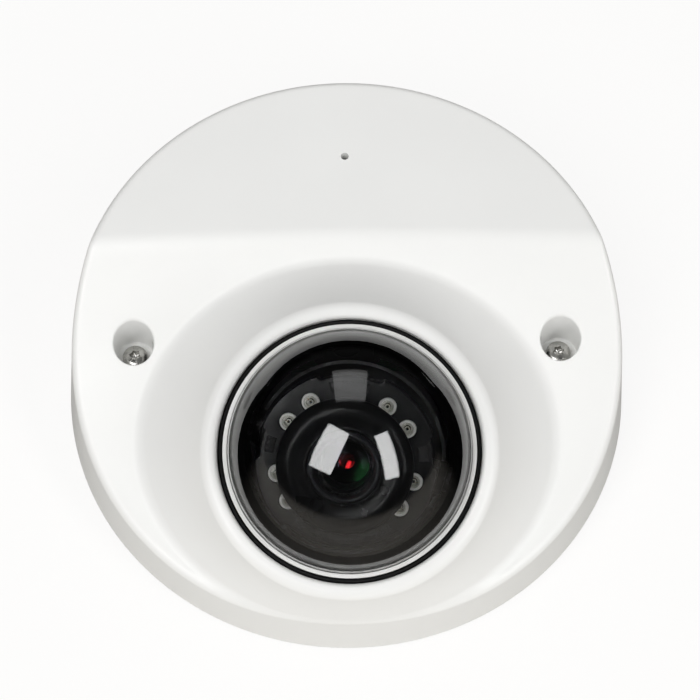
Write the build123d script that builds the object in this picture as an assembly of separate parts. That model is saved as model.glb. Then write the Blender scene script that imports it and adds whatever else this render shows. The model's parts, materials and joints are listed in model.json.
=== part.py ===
from build123d import *
import math
import os

# Compact wedge dome camera. The frame stands on the mounting surface: Z points out of that surface,
# Y points from the dome towards the microphone end, and X runs across. Lengths are in mm, angles in degrees.

# Case: a drafted round puck, a scoop across its front and a tilted flare that carries the dome
case_radius = 53.0
wall_draft = 4.5
rim_height = 31.4
top_cone = 1.0
crease_round = 0.9
cover_wall = 2.2
cover_lift_off = 0.5
scoop_radius = 117.0
scoop_set_in = 3.0
scoop_y = scoop_set_in - case_radius
scoop_height = 11.0

# Dome: its centre, its tilt away from Z, and the heights along its own axis, counted from the centre
dome_set_in = 27.8
dome_y = dome_set_in - case_radius
dome_z = 28.0
dome_tilt = 20.0
dome_radius = 22.2
dome_wall = 1.2
dome_flange = 1.3
dome_flange_width = 1.4
lip_top = 1.7
lip_radius = 26.75
lip_round = 0.9
lip_bore = 24.05
flare_slope = 0.42
flare_bow = 0.0215
flare_depth = 18.0
flare_tail = 5.0
ledge_top = -0.8
ledge_thick = 1.4
ledge_bore = 23.2
gasket_thick = 0.5
trim_wall = 0.7
trim_top = 0.9
seal_top = 0.35
clamp_thick = 1.6
clamp_screw_count = 4
clamp_screw = 0.8
clamp_screw_head = 1.0
clamp_edge = 1.1
part_gap = 0.05

# Cover screws and their wells
well_set_in = 13.2
well_x = case_radius - well_set_in
well_radius = 3.75
well_wall = 1.6
well_floor = 14.4
well_floor_thick = 2.0
well_window_width = 3.8
well_window_height = 4.2
cover_screw_radius = 1.45
cover_screw_head = 2.35
cover_screw_head_height = 2.2
cover_screw_length = 10.0
retainer_ring = 0.6

# Microphone
mic_set_in = 19.1
mic_y = case_radius - mic_set_in
mic_hole = 0.75
mic_radius = 3.0
mic_height = 2.6
mic_boot_wall = 1.1

# Base housing
base_gap = 0.5
base_floor = 3.0
base_wall = 2.6
base_headroom = 0.8
seal_section = 0.8
seal_height = 5.8
seal_gap = 0.1
boss_wall = 2.7
mount_set_in = 13.0
mount_circle = 2 * (case_radius - mount_set_in)
mount_hole = 2.2
mount_count = 3
mount_pad = 5.0
mount_pad_height = 1.5
cable_behind_dome = 34.7
cable_y = dome_y + cable_behind_dome
cable_bore = 2.9
grommet_radius = 6.0
grommet_flange = 1.6
grommet_flange_thick = 1.5

# Main board and what it carries
board_clearance = 3.4
board_radius = case_radius - cover_wall - base_gap - base_wall - board_clearance
board_behind_dome = 27.2
board_edge_y = dome_y + board_behind_dome
board_height = 6.6
board_thick = 1.6
board_post = 2.4
board_margin = 1.2
board_post_set_in = 11.3
board_posts = ((30.0, 8.5), (24.0, board_radius - board_post_set_in))
board_screw = 0.95
board_screw_head = 1.9
board_screw_head_height = 1.3
processor_place = (15.0, 24.0)
processor_size = (12.0, 12.0, 1.3)
sink_size = (13.0, 13.0, 5.2)
sink_fin = 1.3
sink_base = 1.5
memory_places = ((25.8, 15.2), (25.8, 22.4))
memory_size = (8.0, 6.5, 1.0)
transformer_place = (-15.0, 26.0)
transformer_size = (12.7, 9.5, 5.8)
capacitor_places = ((-29.0, 15.6), (-29.0, 22.6))
capacitor_radius = 3.15
capacitor_height = 6.8
header_place = (-17.0, 14.5)
header_size = (13.5, 5.6, 5.5)
header_wall = 0.7
header_pitch = 1.5
header_pin = 0.5
connector_place = (15.5, 9.5)
connector_size = (11.0, 4.2, 1.9)
card_slot_place = (0.0, 26.2)
card_slot_size = (12.0, 14.5, 1.9)
card_slot_wall = 0.5
reset_spot = (34.2, 13.2)
reset_size = (5.2, 5.2, 2.2)
reset_plunger = 1.15
reset_plunger_top = 3.4
reset_travel = 0.4

# Gimbal: what moves stays inside gimbal_reach of the dome centre
pan_set = -17.0
tilt_set = 15.5
roll_set = 13.0
pin_radius = 1.5
pin_head = 2.3
pin_head_height = 0.9
pin_slot = 0.5
running_gap = 0.05
face_gap = 0.1
yoke_ring_top = -16.2
yoke_ring_thick = 1.4
yoke_ring_bore = 13.55
yoke_ring_radius = 18.1
arm_inner = 16.35
arm_thick = 1.4
arm_half_width = 3.0
seat_radius = 19.0
seat_thick = 1.7
seat_skirt_radius = 16.5
seat_skirt_wall = 1.8
spigot_wall = 1.3
retainer_overlap = 1.0
retainer_thick = 0.8
seat_foot_angles = (50.0, 110.0, -50.0, -110.0)
seat_foot_thick = 1.6
seat_foot_radius = 2.6
liner_bore = 18.7
liner_radius = 21.8
liner_gap = 0.7
liner_top = -5.0
liner_wall = 0.9
liner_length = 7.0
liner_notch = 9.6
liner_leg = 1.6
liner_leg_angles = (12.0, 168.0, 230.0, 310.0)

# Lens unit: heights along the optical axis, counted from the dome centre
sleeve_radius = 11.0
sleeve_wall = 1.8
frame_low = -4.0
frame_high = 3.2
frame_wall = 1.7
frame_ear_radius = 3.0
frame_ear_gap = 0.2
shoulder_radius = 12.6
flange_low = 7.0
flange_thick = 1.2
clip_radius = 12.5
clip_thick = 1.1
led_board_thick = 1.0
led_circle = 13.15
led_size = 2.8
led_height = 1.5
led_pair_angles = (45.4, 114.9, -114.9, -45.4)
led_pair_spread = 12.3
bezel_thick = 0.9
bezel_rim = 0.5
bezel_lobe = 15.95
bezel_waist = 15.2
bezel_lobe_half = 25.0
hood_base = 11.5
hood_bulge = 10.4
hood_top = 15.0
hood_wall = 1.0
lens_radius = 6.0
lens_flange = 6.5
lens_bore = 4.6
lens_ring_thick = 1.0
lens_glass = 5.6
lens_bulge = 1.0
lens_low = -4.6
rear_lens_heights = (0.5, 8.0)
rear_lens_bulge = 0.8
rear_lens_rim = 1.2
mount_block = 17.0
mount_height = 4.3
sensor_size = 8.0
sensor_thick = 1.0
filter_thick = 0.5


# Frames: the neck frame has its Z along the dome's axis, the yoke, frame and lens frames add one turn each
neck = Plane(
    origin=(0, dome_y, dome_z),
    x_dir=(1, 0, 0),
    z_dir=(0, -math.sin(math.radians(dome_tilt)), math.cos(math.radians(dome_tilt))),
).location
pan_frame = neck * Rot(0, 0, pan_set)
tilt_frame = pan_frame * Rot(tilt_set, 0, 0)
lens_frame = tilt_frame * Rot(0, 0, roll_set)

draft = math.tan(math.radians(wall_draft))
reach = 4 * case_radius

base_height = scoop_height - cover_wall - base_headroom

# Heights along the dome's axis that several pieces share
ledge_low = ledge_top - ledge_thick
flange_top = ledge_low - gasket_thick
clamp_top = flange_top - dome_flange
dome_inner = dome_radius - dome_wall
dome_flange_radius = ledge_bore + dome_flange_width
pocket_radius = dome_flange_radius + 2 * face_gap
clamp_bore = liner_radius + liner_gap
clamp_screw_circle = pocket_radius + clamp_edge
clamp_radius = clamp_screw_circle + clamp_edge

# Centre circle of the ring that seals the cover against the base
seal_circle = case_radius - cover_wall - draft * (seal_height + seal_section) - seal_section - seal_gap


def rod(radius, low, high):
    """A round bar about the local Z axis between two heights."""
    return Pos(0, 0, low) * Cylinder(radius, high - low, align=(Align.CENTER, Align.CENTER, Align.MIN))


def tube(outer, inner, low, high):
    """A round tube about the local Z axis between two heights."""
    return rod(outer, low, high) - rod(inner, low - 1, high + 1)


def block(width, depth, low, high):
    """A box centred on the local Z axis between two heights."""
    return Pos(0, 0, low) * Box(width, depth, high - low, align=(Align.CENTER, Align.CENTER, Align.MIN))


def turned(*edges):
    """A solid of revolution about Z from edges of a closed outline in the XZ plane."""
    return revolve(make_face(list(edges)), Axis.Z)


def line(*points):
    """A run of straight edges in the XZ plane through (radius, height) points."""
    return Polyline(*[(radius, 0, height) for radius, height in points])


def arc(start, middle, end):
    """A circular arc in the XZ plane through three (radius, height) points."""
    return ThreePointArc(*[(radius, 0, height) for radius, height in (start, middle, end)])


def both_sides(solid):
    """The solid and its mirror image across the YZ plane."""
    return [solid, mirror(solid, Plane.YZ)]


def cap(edge_radius, edge_height, rise):
    """Half the outline of a spherical cap, from its edge to its top on the axis."""
    sphere = (edge_radius ** 2 + rise ** 2) / (2 * abs(rise))
    drop = sphere - math.sqrt(sphere ** 2 - (edge_radius / 2) ** 2)
    middle_height = edge_height + rise - math.copysign(drop, rise)
    return arc((edge_radius, edge_height), (edge_radius / 2, middle_height), (0, edge_height + rise))


def around(solid, count, start=0.0):
    """Copies of a solid, evenly spaced about the local Z axis."""
    return [Rot(0, 0, start + 360.0 * index / count) * solid for index in range(count)]


# Cover

def drafted_cone(inset, height):
    """The case's side wall, continued upwards, moved inwards by inset."""
    radius = case_radius - inset
    return Cone(radius, radius - draft * height, height, align=(Align.CENTER, Align.CENTER, Align.MIN))


def puck(inset):
    """The round case before its front is scooped, moved inwards by inset."""
    edge_z = rim_height - inset
    edge_r = case_radius - inset - draft * edge_z
    apex = edge_z + edge_r * math.tan(math.radians(top_cone))
    return turned(line((0, 0), (case_radius - inset, 0), (edge_r, edge_z), (0, apex), (0, 0)))


def scoop(inset):
    """The cylinder that hollows the front face, made larger by inset."""
    centre = Pos(0, scoop_y, scoop_height + scoop_radius)
    return centre * Rot(0, 90, 0) * Cylinder(scoop_radius + inset, reach)


def flare_radius(depth):
    """Outer radius of the flare at a depth below the lip, measured along the dome's axis."""
    return lip_radius + flare_slope * depth + flare_bow * depth ** 2


def flare(inset, top_depth, crest_round=0):
    """The flare about the dome's axis below top_depth, with its side moved inwards by inset."""
    side = inset / math.cos(math.atan(flare_slope + flare_bow * flare_depth))
    start, middle, end = [
        (flare_radius(depth) - side, lip_top - depth)
        for depth in (top_depth, (top_depth + flare_depth) / 2, flare_depth)
    ]
    low = end[1] - flare_tail
    outline = line(end, (end[0], low), (0, low), (0, start[1]), start)
    form = turned(outline, arc(start, middle, end))
    if crest_round:
        form = fillet(form.edges().sort_by(Axis.Z)[-1], crest_round)
    return neck * form


def scooped_puck():
    """The case with its concave front face, its rim and crease rounded."""
    body = puck(0) - scoop(0)
    rim = body.edges().filter_by(lambda edge: edge.center().Z > scoop_height / 2)
    return fillet(rim, crease_round)


def cover_outside():
    neck_form = flare(0, 0, lip_round) & drafted_cone(0, dome_z + dome_radius)
    return scooped_puck() + neck_form


def cover_inside():
    room = puck(cover_wall) - scoop(cover_wall)
    neck_room = flare(cover_wall, lip_top - clamp_top) & drafted_cone(cover_wall, dome_z + dome_radius)
    return room + neck_room


def wedge_cover():
    shell = cover_outside() - cover_inside()
    shell -= neck * rod(lip_bore, ledge_top, dome_radius)
    shell -= neck * Pos(0, 0, lip_top - lip_round) * Cone(
        lip_bore, lip_bore + 2 * lip_round, 2 * lip_round, align=(Align.CENTER, Align.CENTER, Align.MIN))
    shell -= neck * rod(ledge_bore, ledge_low - 1, ledge_top + 1)
    shell -= neck * rod(pocket_radius, clamp_top - 1, ledge_low)
    boss_low = well_floor - well_floor_thick
    for side in (-1, 1):
        place = Pos(side * well_x, 0, 0)
        boss = place * rod(well_radius + well_wall, boss_low, rim_height)
        shell += boss & (puck(cover_wall / 2) - scoop(cover_wall / 2))
        shell -= place * rod(well_radius, well_floor, rim_height + 1)
        shell -= place * rod(cover_screw_radius + 0.25, boss_low - 1, well_floor + 1)
        window_z = well_floor + cover_screw_head_height / 2 + well_window_height / 2
        window = Box(well_radius + 2 * well_wall, well_window_width, well_window_height,
                     align=(Align.MIN, Align.CENTER, Align.CENTER))
        shell -= Pos(side * well_x, 0, window_z) * Rot(0, 0, 90 + 90 * side) * window
    boot = Pos(0, mic_y, 0) * tube(mic_radius + 2 * mic_boot_wall, mic_radius + mic_boot_wall,
                                   rim_height - cover_wall - mic_height - mic_boot_wall, rim_height)
    shell += boot & puck(cover_wall / 2)
    shell -= Pos(0, mic_y, 0) * rod(mic_hole, rim_height / 2, 2 * rim_height)
    for screw in clamp_screw_holes():
        shell -= screw
    shell -= block(2 * reach, 2 * reach, -1, cover_lift_off)
    return shell


def clamp_screw_holes():
    """The clamp screws' shanks, from under the clamp ring up into the neck."""
    shank = Pos(clamp_screw_circle, 0, 0) * rod(clamp_screw, clamp_top - clamp_thick, ledge_low + lip_round)
    return [neck * copy for copy in around(shank, clamp_screw_count, 45)]


def cover_screws():
    """Two pan-head machine screws with a six-lobe recess, held captive in the wells."""
    top = well_floor + cover_screw_head_height
    screw = rod(cover_screw_head, well_floor, top)
    screw = fillet(screw.edges().sort_by(Axis.Z)[-1], cover_screw_head_height / 3)
    screw += rod(cover_screw_radius, well_floor - cover_screw_length, well_floor)
    recess = rod(0.75, top - 1.2, top + 1)
    for lobe in around(Pos(0.75, 0, 0) * rod(0.32, top - 1.2, top + 1), 6):
        recess += lobe
    return both_sides(Pos(well_x, 0, 0) * (screw - recess))


def screw_retainers():
    """Rubber rings on the screws under the cover, which keep the screws from falling out."""
    low = well_floor - well_floor_thick
    ring = tube(cover_screw_radius + 2 * retainer_ring, cover_screw_radius, low - 2 * retainer_ring, low)
    return both_sides(Pos(well_x, 0, 0) * ring)


def dome_bubble():
    """A clear half sphere on a short skirt with a flange."""
    bubble = Sphere(dome_radius) & block(reach, reach, 0, reach)
    bubble += rod(dome_radius, clamp_top, 0)
    bubble += rod(dome_flange_radius, clamp_top, flange_top)
    bubble -= Sphere(dome_inner) & block(reach, reach, 0, reach)
    bubble -= rod(dome_inner, clamp_top - 1, 0)
    return neck * bubble


def dome_trim_ring():
    inner = dome_radius + part_gap
    ring = tube(inner + trim_wall, inner, flange_top, trim_top)
    return neck * fillet(ring.edges().filter_by(GeomType.CIRCLE).sort_by(Axis.Z)[-2:], trim_wall / 3)


def dome_seal():
    """The black ring in the gap between lip and trim ring."""
    inner = dome_radius + trim_wall + 2 * part_gap
    return neck * tube(lip_bore - part_gap, inner, ledge_top, seal_top)


def dome_gasket():
    return neck * tube(dome_flange_radius, ledge_bore + part_gap, flange_top, ledge_low)


def dome_clamp_ring():
    ring = neck * tube(clamp_radius, clamp_bore, clamp_top - clamp_thick, clamp_top)
    for shank in clamp_screw_holes():
        ring -= shank
    return ring


def clamp_screws():
    low = clamp_top - clamp_thick
    head = Pos(clamp_screw_circle, 0, 0) * rod(clamp_screw_head, low - clamp_screw, low)
    heads = [neck * copy for copy in around(head, clamp_screw_count, 45)]
    return [head + shank for head, shank in zip(heads, clamp_screw_holes())]


def mic_boot():
    """A rubber cup that holds the microphone against the hole."""
    top = puck(cover_wall).bounding_box().max.Z - mic_y * math.tan(math.radians(top_cone)) - 0.3
    outer = mic_radius + mic_boot_wall - part_gap
    cup = rod(outer, top - mic_height - mic_boot_wall, top)
    cup -= rod(mic_radius, top - mic_height - 2 * mic_boot_wall, top - mic_boot_wall)
    cup -= rod(mic_hole, top - 2 * mic_boot_wall, top + 1)
    return Pos(0, mic_y, 0) * cup


def microphone():
    top = mic_boot().bounding_box().max.Z - mic_boot_wall
    return Pos(0, mic_y, 0) * rod(mic_radius, top - mic_height, top)


# Base

def base_cone(inset, low, high):
    """The base's side wall, parallel to the cover's, moved inwards by inset, between two heights."""
    return drafted_cone(cover_wall + base_gap + inset, high) & block(reach, reach, low, high)


def mount_places():
    return around(Pos(0, mount_circle / 2, 0), mount_count)


def base_housing():
    boss_top = well_floor - well_floor_thick - face_gap
    base = base_cone(0, 0, base_height) - base_cone(base_wall, base_floor, base_height + 1)
    half = seal_section + part_gap
    base -= tube(case_radius, seal_circle - half, seal_height - half, seal_height + half)
    for side in (-1, 1):
        place = Pos(side * well_x, 0, 0)
        base += place * Cone(cover_screw_radius + boss_wall + 0.4, cover_screw_radius + boss_wall,
                             boss_top - base_floor + 1,
                             align=(Align.CENTER, Align.CENTER, Align.MIN)).moved(Pos(0, 0, base_floor - 1))
        hole_low = well_floor - cover_screw_length - 1
        base -= place * rod(cover_screw_radius + running_gap, hole_low, boss_top + 1)
        ring_room = 2 * retainer_ring + running_gap
        base -= place * rod(cover_screw_radius + 2 * ring_room, boss_top - ring_room - 0.3, boss_top + 1)
    for place in mount_places():
        base += place * rod(mount_pad, base_floor - 1, base_floor + mount_pad_height)
        base -= place * rod(mount_hole, -1, base_height)
    for x, y in board_posts:
        for side in (-1, 1):
            place = Pos(side * x, y, 0)
            base += place * rod(board_post, base_floor - 1, board_height)
            base -= place * rod(board_screw + running_gap, base_floor, board_height + 1)
    for leg in liner_leg_places():
        base += leg * rod(liner_leg + running_gap + 1.4, base_floor - 1, base_floor + 2 * liner_leg)
        base -= leg * rod(liner_leg, base_floor, base_height)
    for foot in seat_foot_places():
        base -= foot * rod(board_screw, base_floor - 2.2, base_height)
    base -= Pos(0, cable_y, 0) * rod(grommet_radius, -1, base_height)
    return base


def base_seal():
    return Pos(0, 0, seal_height) * Torus(seal_circle, seal_section)


def cable_grommet():
    """A rubber bush in the cable outlet, flanged on the inside."""
    bush = rod(grommet_radius, 0.5, base_floor)
    bush += rod(grommet_radius + grommet_flange, base_floor, base_floor + grommet_flange_thick)
    bush -= rod(cable_bore, -1, base_height)
    return Pos(0, cable_y, 0) * bush


def main_board():
    board = rod(board_radius, board_height, board_height + board_thick)
    board &= Pos(0, board_edge_y + reach / 2, 0) * Box(reach, reach, reach)
    for place in mount_places():
        board -= place * rod(mount_pad + board_margin, 0, rim_height)
    for side in (-1, 1):
        notch = cover_screw_radius + boss_wall + board_margin
        board -= Pos(side * well_x, 0, 0) * rod(notch, 0, rim_height)
        board -= Pos(side * (well_x + case_radius), 0, 0) * block(2 * case_radius, 2 * notch, 0, rim_height)
        for x, y in board_posts:
            board -= Pos(side * x, y, 0) * rod(board_screw, 0, rim_height)
    board -= Pos(0, cable_y, 0) * rod(grommet_radius + grommet_flange + board_margin, 0, rim_height)
    return board


def board_screws():
    top = board_height + board_thick
    screw = rod(board_screw_head, top, top + board_screw_head_height)
    screw += rod(board_screw, base_floor + seal_section, top)
    return [Pos(side * x, y, 0) * screw for x, y in board_posts for side in (-1, 1)]


def on_board(place):
    x, y = place
    return Pos(x, y, board_height + board_thick)


def chip(place, size):
    """A rectangular package on the board."""
    width, depth, height = size
    return on_board(place) * block(width, depth, 0, height)


def processor():
    return chip(processor_place, processor_size)


def heat_spreader():
    """A finned aluminium block on the processor."""
    width, depth, height = sink_size
    low = processor_size[2]
    sink = block(width, depth, low, low + height)
    for index in range(-2, 3):
        gap = block(sink_fin, depth + 1, low + sink_base, low + height + 1)
        sink -= Pos(2 * sink_fin * index, 0, 0) * gap
    return on_board(processor_place) * sink


def memory_chips():
    return [chip(place, memory_size) for place in memory_places]


def ethernet_transformer():
    case = chip(transformer_place, transformer_size)
    return fillet(case.edges().filter_by(Axis.Z), transformer_size[2] / 10)


def capacitors():
    can = fillet(rod(capacitor_radius, 0, capacitor_height).edges().sort_by(Axis.Z)[-1], capacitor_radius / 6)
    return [on_board(place) * can for place in capacitor_places]


def cable_header():
    """An open box with a row of pins."""
    width, depth, height = header_size
    shift = Pos(0, header_wall, 0)
    header = block(width, depth, 0, height)
    header -= shift * block(width - 2 * header_wall, depth - 3 * header_wall, 2 * header_wall, height + 1)
    for index in range(8):
        pin = block(header_pin, header_pin, header_wall, height - header_wall)
        header += shift * Pos(header_pitch * (index - 3.5), 0, 0) * pin
    return on_board(header_place) * header


def lens_connector():
    width, depth, height = connector_size
    slit = Pos(0, -depth / 4, height / 3) * block(width - 2 * pin_radius, depth * 3 / 4, 0, height / 3)
    return on_board(connector_place) * (block(width, depth, 0, height) - slit)


def memory_card_slot():
    width, depth, height = card_slot_size
    card = Pos(0, 2 * card_slot_wall, 0) * block(
        width - 2 * card_slot_wall, depth, card_slot_wall, height - card_slot_wall)
    return on_board(card_slot_place) * (block(width, depth, 0, height) - card)


def reset_switch():
    width, depth, height = reset_size
    bore = rod(reset_plunger + running_gap, height / 2, height + 1)
    return on_board(reset_spot) * (block(width, depth, 0, height) - bore)


def reset_button():
    low = reset_size[2] / 2 + reset_travel + face_gap
    plunger = rod(reset_plunger, low, reset_plunger_top)
    return on_board(reset_spot) * fillet(plunger.edges().sort_by(Axis.Z)[-1], reset_plunger / 4)


# Gimbal seat and liner

def seat_foot_places():
    """Screw places on the floor round the seat's skirt."""
    middle = (neck * Pos(0, 0, yoke_ring_top - yoke_ring_thick - face_gap - seat_thick / 2)).position
    out = Pos(0, seat_skirt_radius + seat_foot_radius - 0.4, 0)
    return [Pos(0, middle.Y, 0) * Rot(0, 0, angle) * out for angle in seat_foot_angles]


def gimbal_seat():
    """A tilted bearing ring on an upright skirt with three feet."""
    top = yoke_ring_top - yoke_ring_thick - face_gap
    spigot = yoke_ring_bore - running_gap
    ring = neck * tube(seat_radius, spigot - spigot_wall, top - seat_thick, top)
    ring += neck * tube(spigot, spigot - spigot_wall, top - 0.5, yoke_ring_top + face_gap)
    middle = neck * Pos(0, 0, top - seat_thick / 2)
    upright = Pos(0, middle.position.Y, 0)
    skirt = upright * tube(seat_skirt_radius, seat_skirt_radius - seat_skirt_wall, base_floor, dome_z)
    skirt &= neck * rod(reach, -reach, top - seat_thick / 2)
    seat = ring + skirt
    for foot in seat_foot_places():
        seat += foot * rod(seat_foot_radius, base_floor, base_floor + seat_foot_thick)
        seat -= foot * rod(board_screw + 0.15, 0, base_floor + 2 * seat_foot_thick)
    return seat


def seat_screws():
    screws = []
    for foot in seat_foot_places():
        top = base_floor + seat_foot_thick
        screw = rod(board_screw_head, top, top + board_screw_head_height) + rod(board_screw, base_floor - 2, top)
        screws.append(foot * screw)
    return screws


def pan_retainer():
    """A ring on the spigot that keeps the yoke from lifting."""
    spigot = yoke_ring_bore - running_gap
    low = yoke_ring_top + face_gap
    return neck * tube(spigot + retainer_overlap, spigot - spigot_wall, low, low + retainer_thick)


def liner_leg_places():
    """Upright axes under the liner's skirt."""
    middle = liner_radius - liner_wall / 2
    places = []
    for angle in liner_leg_angles:
        x = middle * math.cos(math.radians(angle))
        y = middle * math.sin(math.radians(angle))
        spot = (neck * Pos(x, y, liner_top - liner_length)).position
        places.append(Pos(spot.X, spot.Y, 0))
    return places


def inner_liner():
    """The black shroud round the gimbal: a notched flange, a tilted skirt and four legs."""
    liner = tube(liner_radius, liner_bore, liner_top - liner_wall, liner_top)
    liner += tube(liner_radius, liner_radius - liner_wall, liner_top - liner_length, liner_top)
    notch_depth = (liner_radius - liner_bore) * 2 / 3
    notch = Box(liner_notch, 2 * notch_depth, 4 * liner_wall)
    liner -= Pos(0, liner_bore, liner_top) * notch
    liner = neck * liner
    for leg, angle in zip(liner_leg_places(), liner_leg_angles):
        y = (liner_radius - liner_wall / 2) * math.sin(math.radians(angle))
        height = (neck * Pos(0, y, liner_top - liner_length)).position.Z
        liner += leg * rod(liner_leg, base_floor, height + 1.2)
    return liner


# Pan and tilt

def pan_yoke():
    """A ring that turns on the seat, with two arms up to the tilt axis."""
    ring_low = yoke_ring_top - yoke_ring_thick
    yoke = tube(yoke_ring_radius, yoke_ring_bore, ring_low, yoke_ring_top)
    arm = Pos(arm_inner + arm_thick / 2, 0, 0) * block(arm_thick, 2 * arm_half_width, ring_low, 0)
    arm += Pos(arm_inner, 0, 0) * Rot(0, 90, 0) * rod(arm_half_width, 0, arm_thick)
    arm -= Pos(arm_inner, 0, 0) * Rot(0, 90, 0) * rod(pin_radius + running_gap, -1, arm_thick + 1)
    foot = Pos(arm_inner - 1.2, 0, 0) * block(3, 2 * arm_half_width + 3, ring_low, yoke_ring_top + 0.6)
    foot &= rod(yoke_ring_radius, -reach, 0)
    foot -= rod(yoke_ring_bore + 1.2, -reach, 0)
    for side in both_sides(arm + foot):
        yoke += side
    return pan_frame * yoke


def tilt_frame_ring():
    """The ring that holds the lens sleeve, with two ears for the tilt pins."""
    bore = sleeve_radius + running_gap
    ring = tube(bore + frame_wall, bore, frame_low, frame_high)
    length = arm_inner - frame_ear_gap - bore - frame_wall / 2
    ear = Pos(bore + frame_wall / 2, 0, 0) * Rot(0, 90, 0) * rod(frame_ear_radius, 0, length)
    ear -= rod(bore + frame_wall / 3, frame_low, frame_high)
    pin_hole = Pos(bore + 0.8, 0, 0) * Rot(0, 90, 0) * rod(pin_radius, 0, reach)
    for side, hole in zip(both_sides(ear), both_sides(pin_hole)):
        ring += side
        ring -= hole
    return tilt_frame * ring


def tilt_pins():
    """Shoulder screws through the yoke's arms."""
    start = sleeve_radius + running_gap + 0.9
    face = arm_inner + arm_thick + face_gap
    pin = rod(pin_radius, start, face) + rod(pin_head, face, face + pin_head_height)
    pin -= block(2 * pin_head + 1, pin_slot, face + pin_slot, face + 2 * pin_head_height)
    return [tilt_frame * side for side in both_sides(Rot(0, 90, 0) * pin)]


# Lens unit

def lens_cradle():
    """The sleeve that turns in the tilt frame and carries the LED board."""
    bore = sleeve_radius - sleeve_wall
    low = frame_low - face_gap - clip_thick
    sleeve = tube(sleeve_radius, bore, low, flange_low)
    sleeve += tube(shoulder_radius, bore, frame_high + face_gap, flange_low)
    sleeve += tube(bezel_waist - 0.5, bore, flange_low, flange_low + flange_thick)
    return lens_frame * sleeve


def cradle_clip():
    high = frame_low - face_gap
    return lens_frame * tube(clip_radius, sleeve_radius, high - clip_thick, high)


def led_turns():
    """Angles of the LEDs about the optical axis: four pairs."""
    return [90 + pair + spread for pair in led_pair_angles for spread in (-led_pair_spread, led_pair_spread)]


def led_windows(size, low, high):
    """Square holes, one for each LED."""
    hole = Pos(led_circle, 0, 0) * block(size, size, low, high)
    return [Rot(0, 0, turn) * hole for turn in led_turns()]


led_board_low = flange_low + flange_thick
led_low = led_board_low + led_board_thick
bezel_top = led_low + led_height + 0.2
bezel_low = bezel_top - bezel_thick


def led_board():
    board = Pos(0, 0, led_board_low) * extrude(bezel_outline(bezel_rim + part_gap), led_board_thick)
    return lens_frame * (board - rod(lens_flange + 2.4, led_board_low - 1, led_low + 1))


def ir_leds():
    """Square packages with a round cup and a chip at its bottom."""
    package = block(led_size, led_size, led_low, led_low + led_height)
    package -= Pos(0, 0, led_low + led_height - 0.6) * Cone(
        0.65, 1.15, 0.61, align=(Align.CENTER, Align.CENTER, Align.MIN))
    package += block(0.7, 0.7, led_low + led_height - 0.7, led_low + led_height - 0.4)
    return [lens_frame * Rot(0, 0, turn) * Pos(led_circle, 0, 0) * package for turn in led_turns()]


def bezel_outline(inset):
    """The bezel's outline moved inwards: a round waist with a wider lobe at each LED pair."""
    outline = Circle(bezel_waist - inset)
    for pair in led_pair_angles:
        half = math.radians(bezel_lobe_half)
        lobe = Circle(bezel_lobe - inset)
        far = 2 * bezel_lobe
        wedge = Polygon((0, 0), (far, -far * math.tan(half)), (far, far * math.tan(half)), align=None)
        outline += lobe & (Rot(0, 0, 90 + pair) * wedge)
    return outline


def led_bezel():
    """The black plate over the LED board, with a window for each LED and a turned-down rim."""
    plate = Pos(0, 0, led_board_low) * extrude(bezel_outline(0), bezel_top - led_board_low)
    plate -= Pos(0, 0, led_board_low - 1) * extrude(bezel_outline(bezel_rim), bezel_low - led_board_low + 1)
    plate -= rod(hood_base - hood_wall + part_gap, led_board_low - 1, bezel_top + 1)
    for window in led_windows(led_size + 0.5, bezel_low - 0.1, bezel_top + 1):
        plate -= window
    return lens_frame * plate


def lens_hood():
    """The glossy bulging shroud between the bezel and the lens."""
    low = bezel_top
    mouth = lens_flange + 0.1
    bulge = low + 0.62 * (hood_top - low)
    outer = ((hood_base, low), (hood_bulge, bulge), (mouth + 0.5, hood_top))
    inner = ((mouth, hood_top), (hood_bulge - hood_wall, bulge - 0.7 * hood_wall), (hood_base - hood_wall, low))
    shell = turned(arc(*outer), line(outer[2], inner[0]), arc(*inner), line(inner[2], outer[0]))
    foot = tube(hood_base - hood_wall, hood_base - hood_wall - 0.6, led_low, low + 0.4)
    return lens_frame * (shell + foot)


lens_top = hood_top


def lens_barrel():
    """The threaded lens barrel with its front flange."""
    barrel = tube(lens_radius, lens_bore, lens_low, lens_top - 2.6)
    barrel += tube(lens_flange, lens_bore, lens_top - 3.4, lens_top - 1.4)
    barrel += tube(lens_flange, lens_glass + part_gap, lens_top - 1.4, lens_top)
    return lens_frame * barrel


def lens_front_ring():
    ring = turned(line((lens_glass - 0.5, lens_top), (lens_flange, lens_top), (lens_flange, lens_top + 0.5),
                       (lens_flange - 0.5, lens_top + lens_ring_thick), (lens_glass, lens_top + lens_ring_thick),
                       (lens_glass - 0.5, lens_top)))
    return lens_frame * ring


def front_lens():
    """The first lens, a meniscus with its bulging side out."""
    low = lens_top - 1.4
    edge = lens_glass - 0.6
    outline = line((0, lens_top + lens_bulge), (0, low), (lens_glass, low), (lens_glass, lens_top), (edge, lens_top))
    return lens_frame * turned(outline, cap(edge, lens_top, lens_bulge))


def rear_lenses():
    """Two biconvex lenses inside the barrel."""
    lenses = []
    rim = rear_lens_rim / 2
    bulge = rear_lens_bulge
    for height in rear_lens_heights:
        side = line((lens_bore, height - rim), (lens_bore, height + rim))
        axis = line((0, height + rim + bulge), (0, height - rim - bulge))
        faces = (cap(lens_bore, height + rim, bulge), cap(lens_bore, height - rim, -bulge))
        lenses.append(lens_frame * turned(side, axis, *faces))
    return lenses


mount_top = frame_low - face_gap - clip_thick
mount_low = mount_top - mount_height


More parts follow.
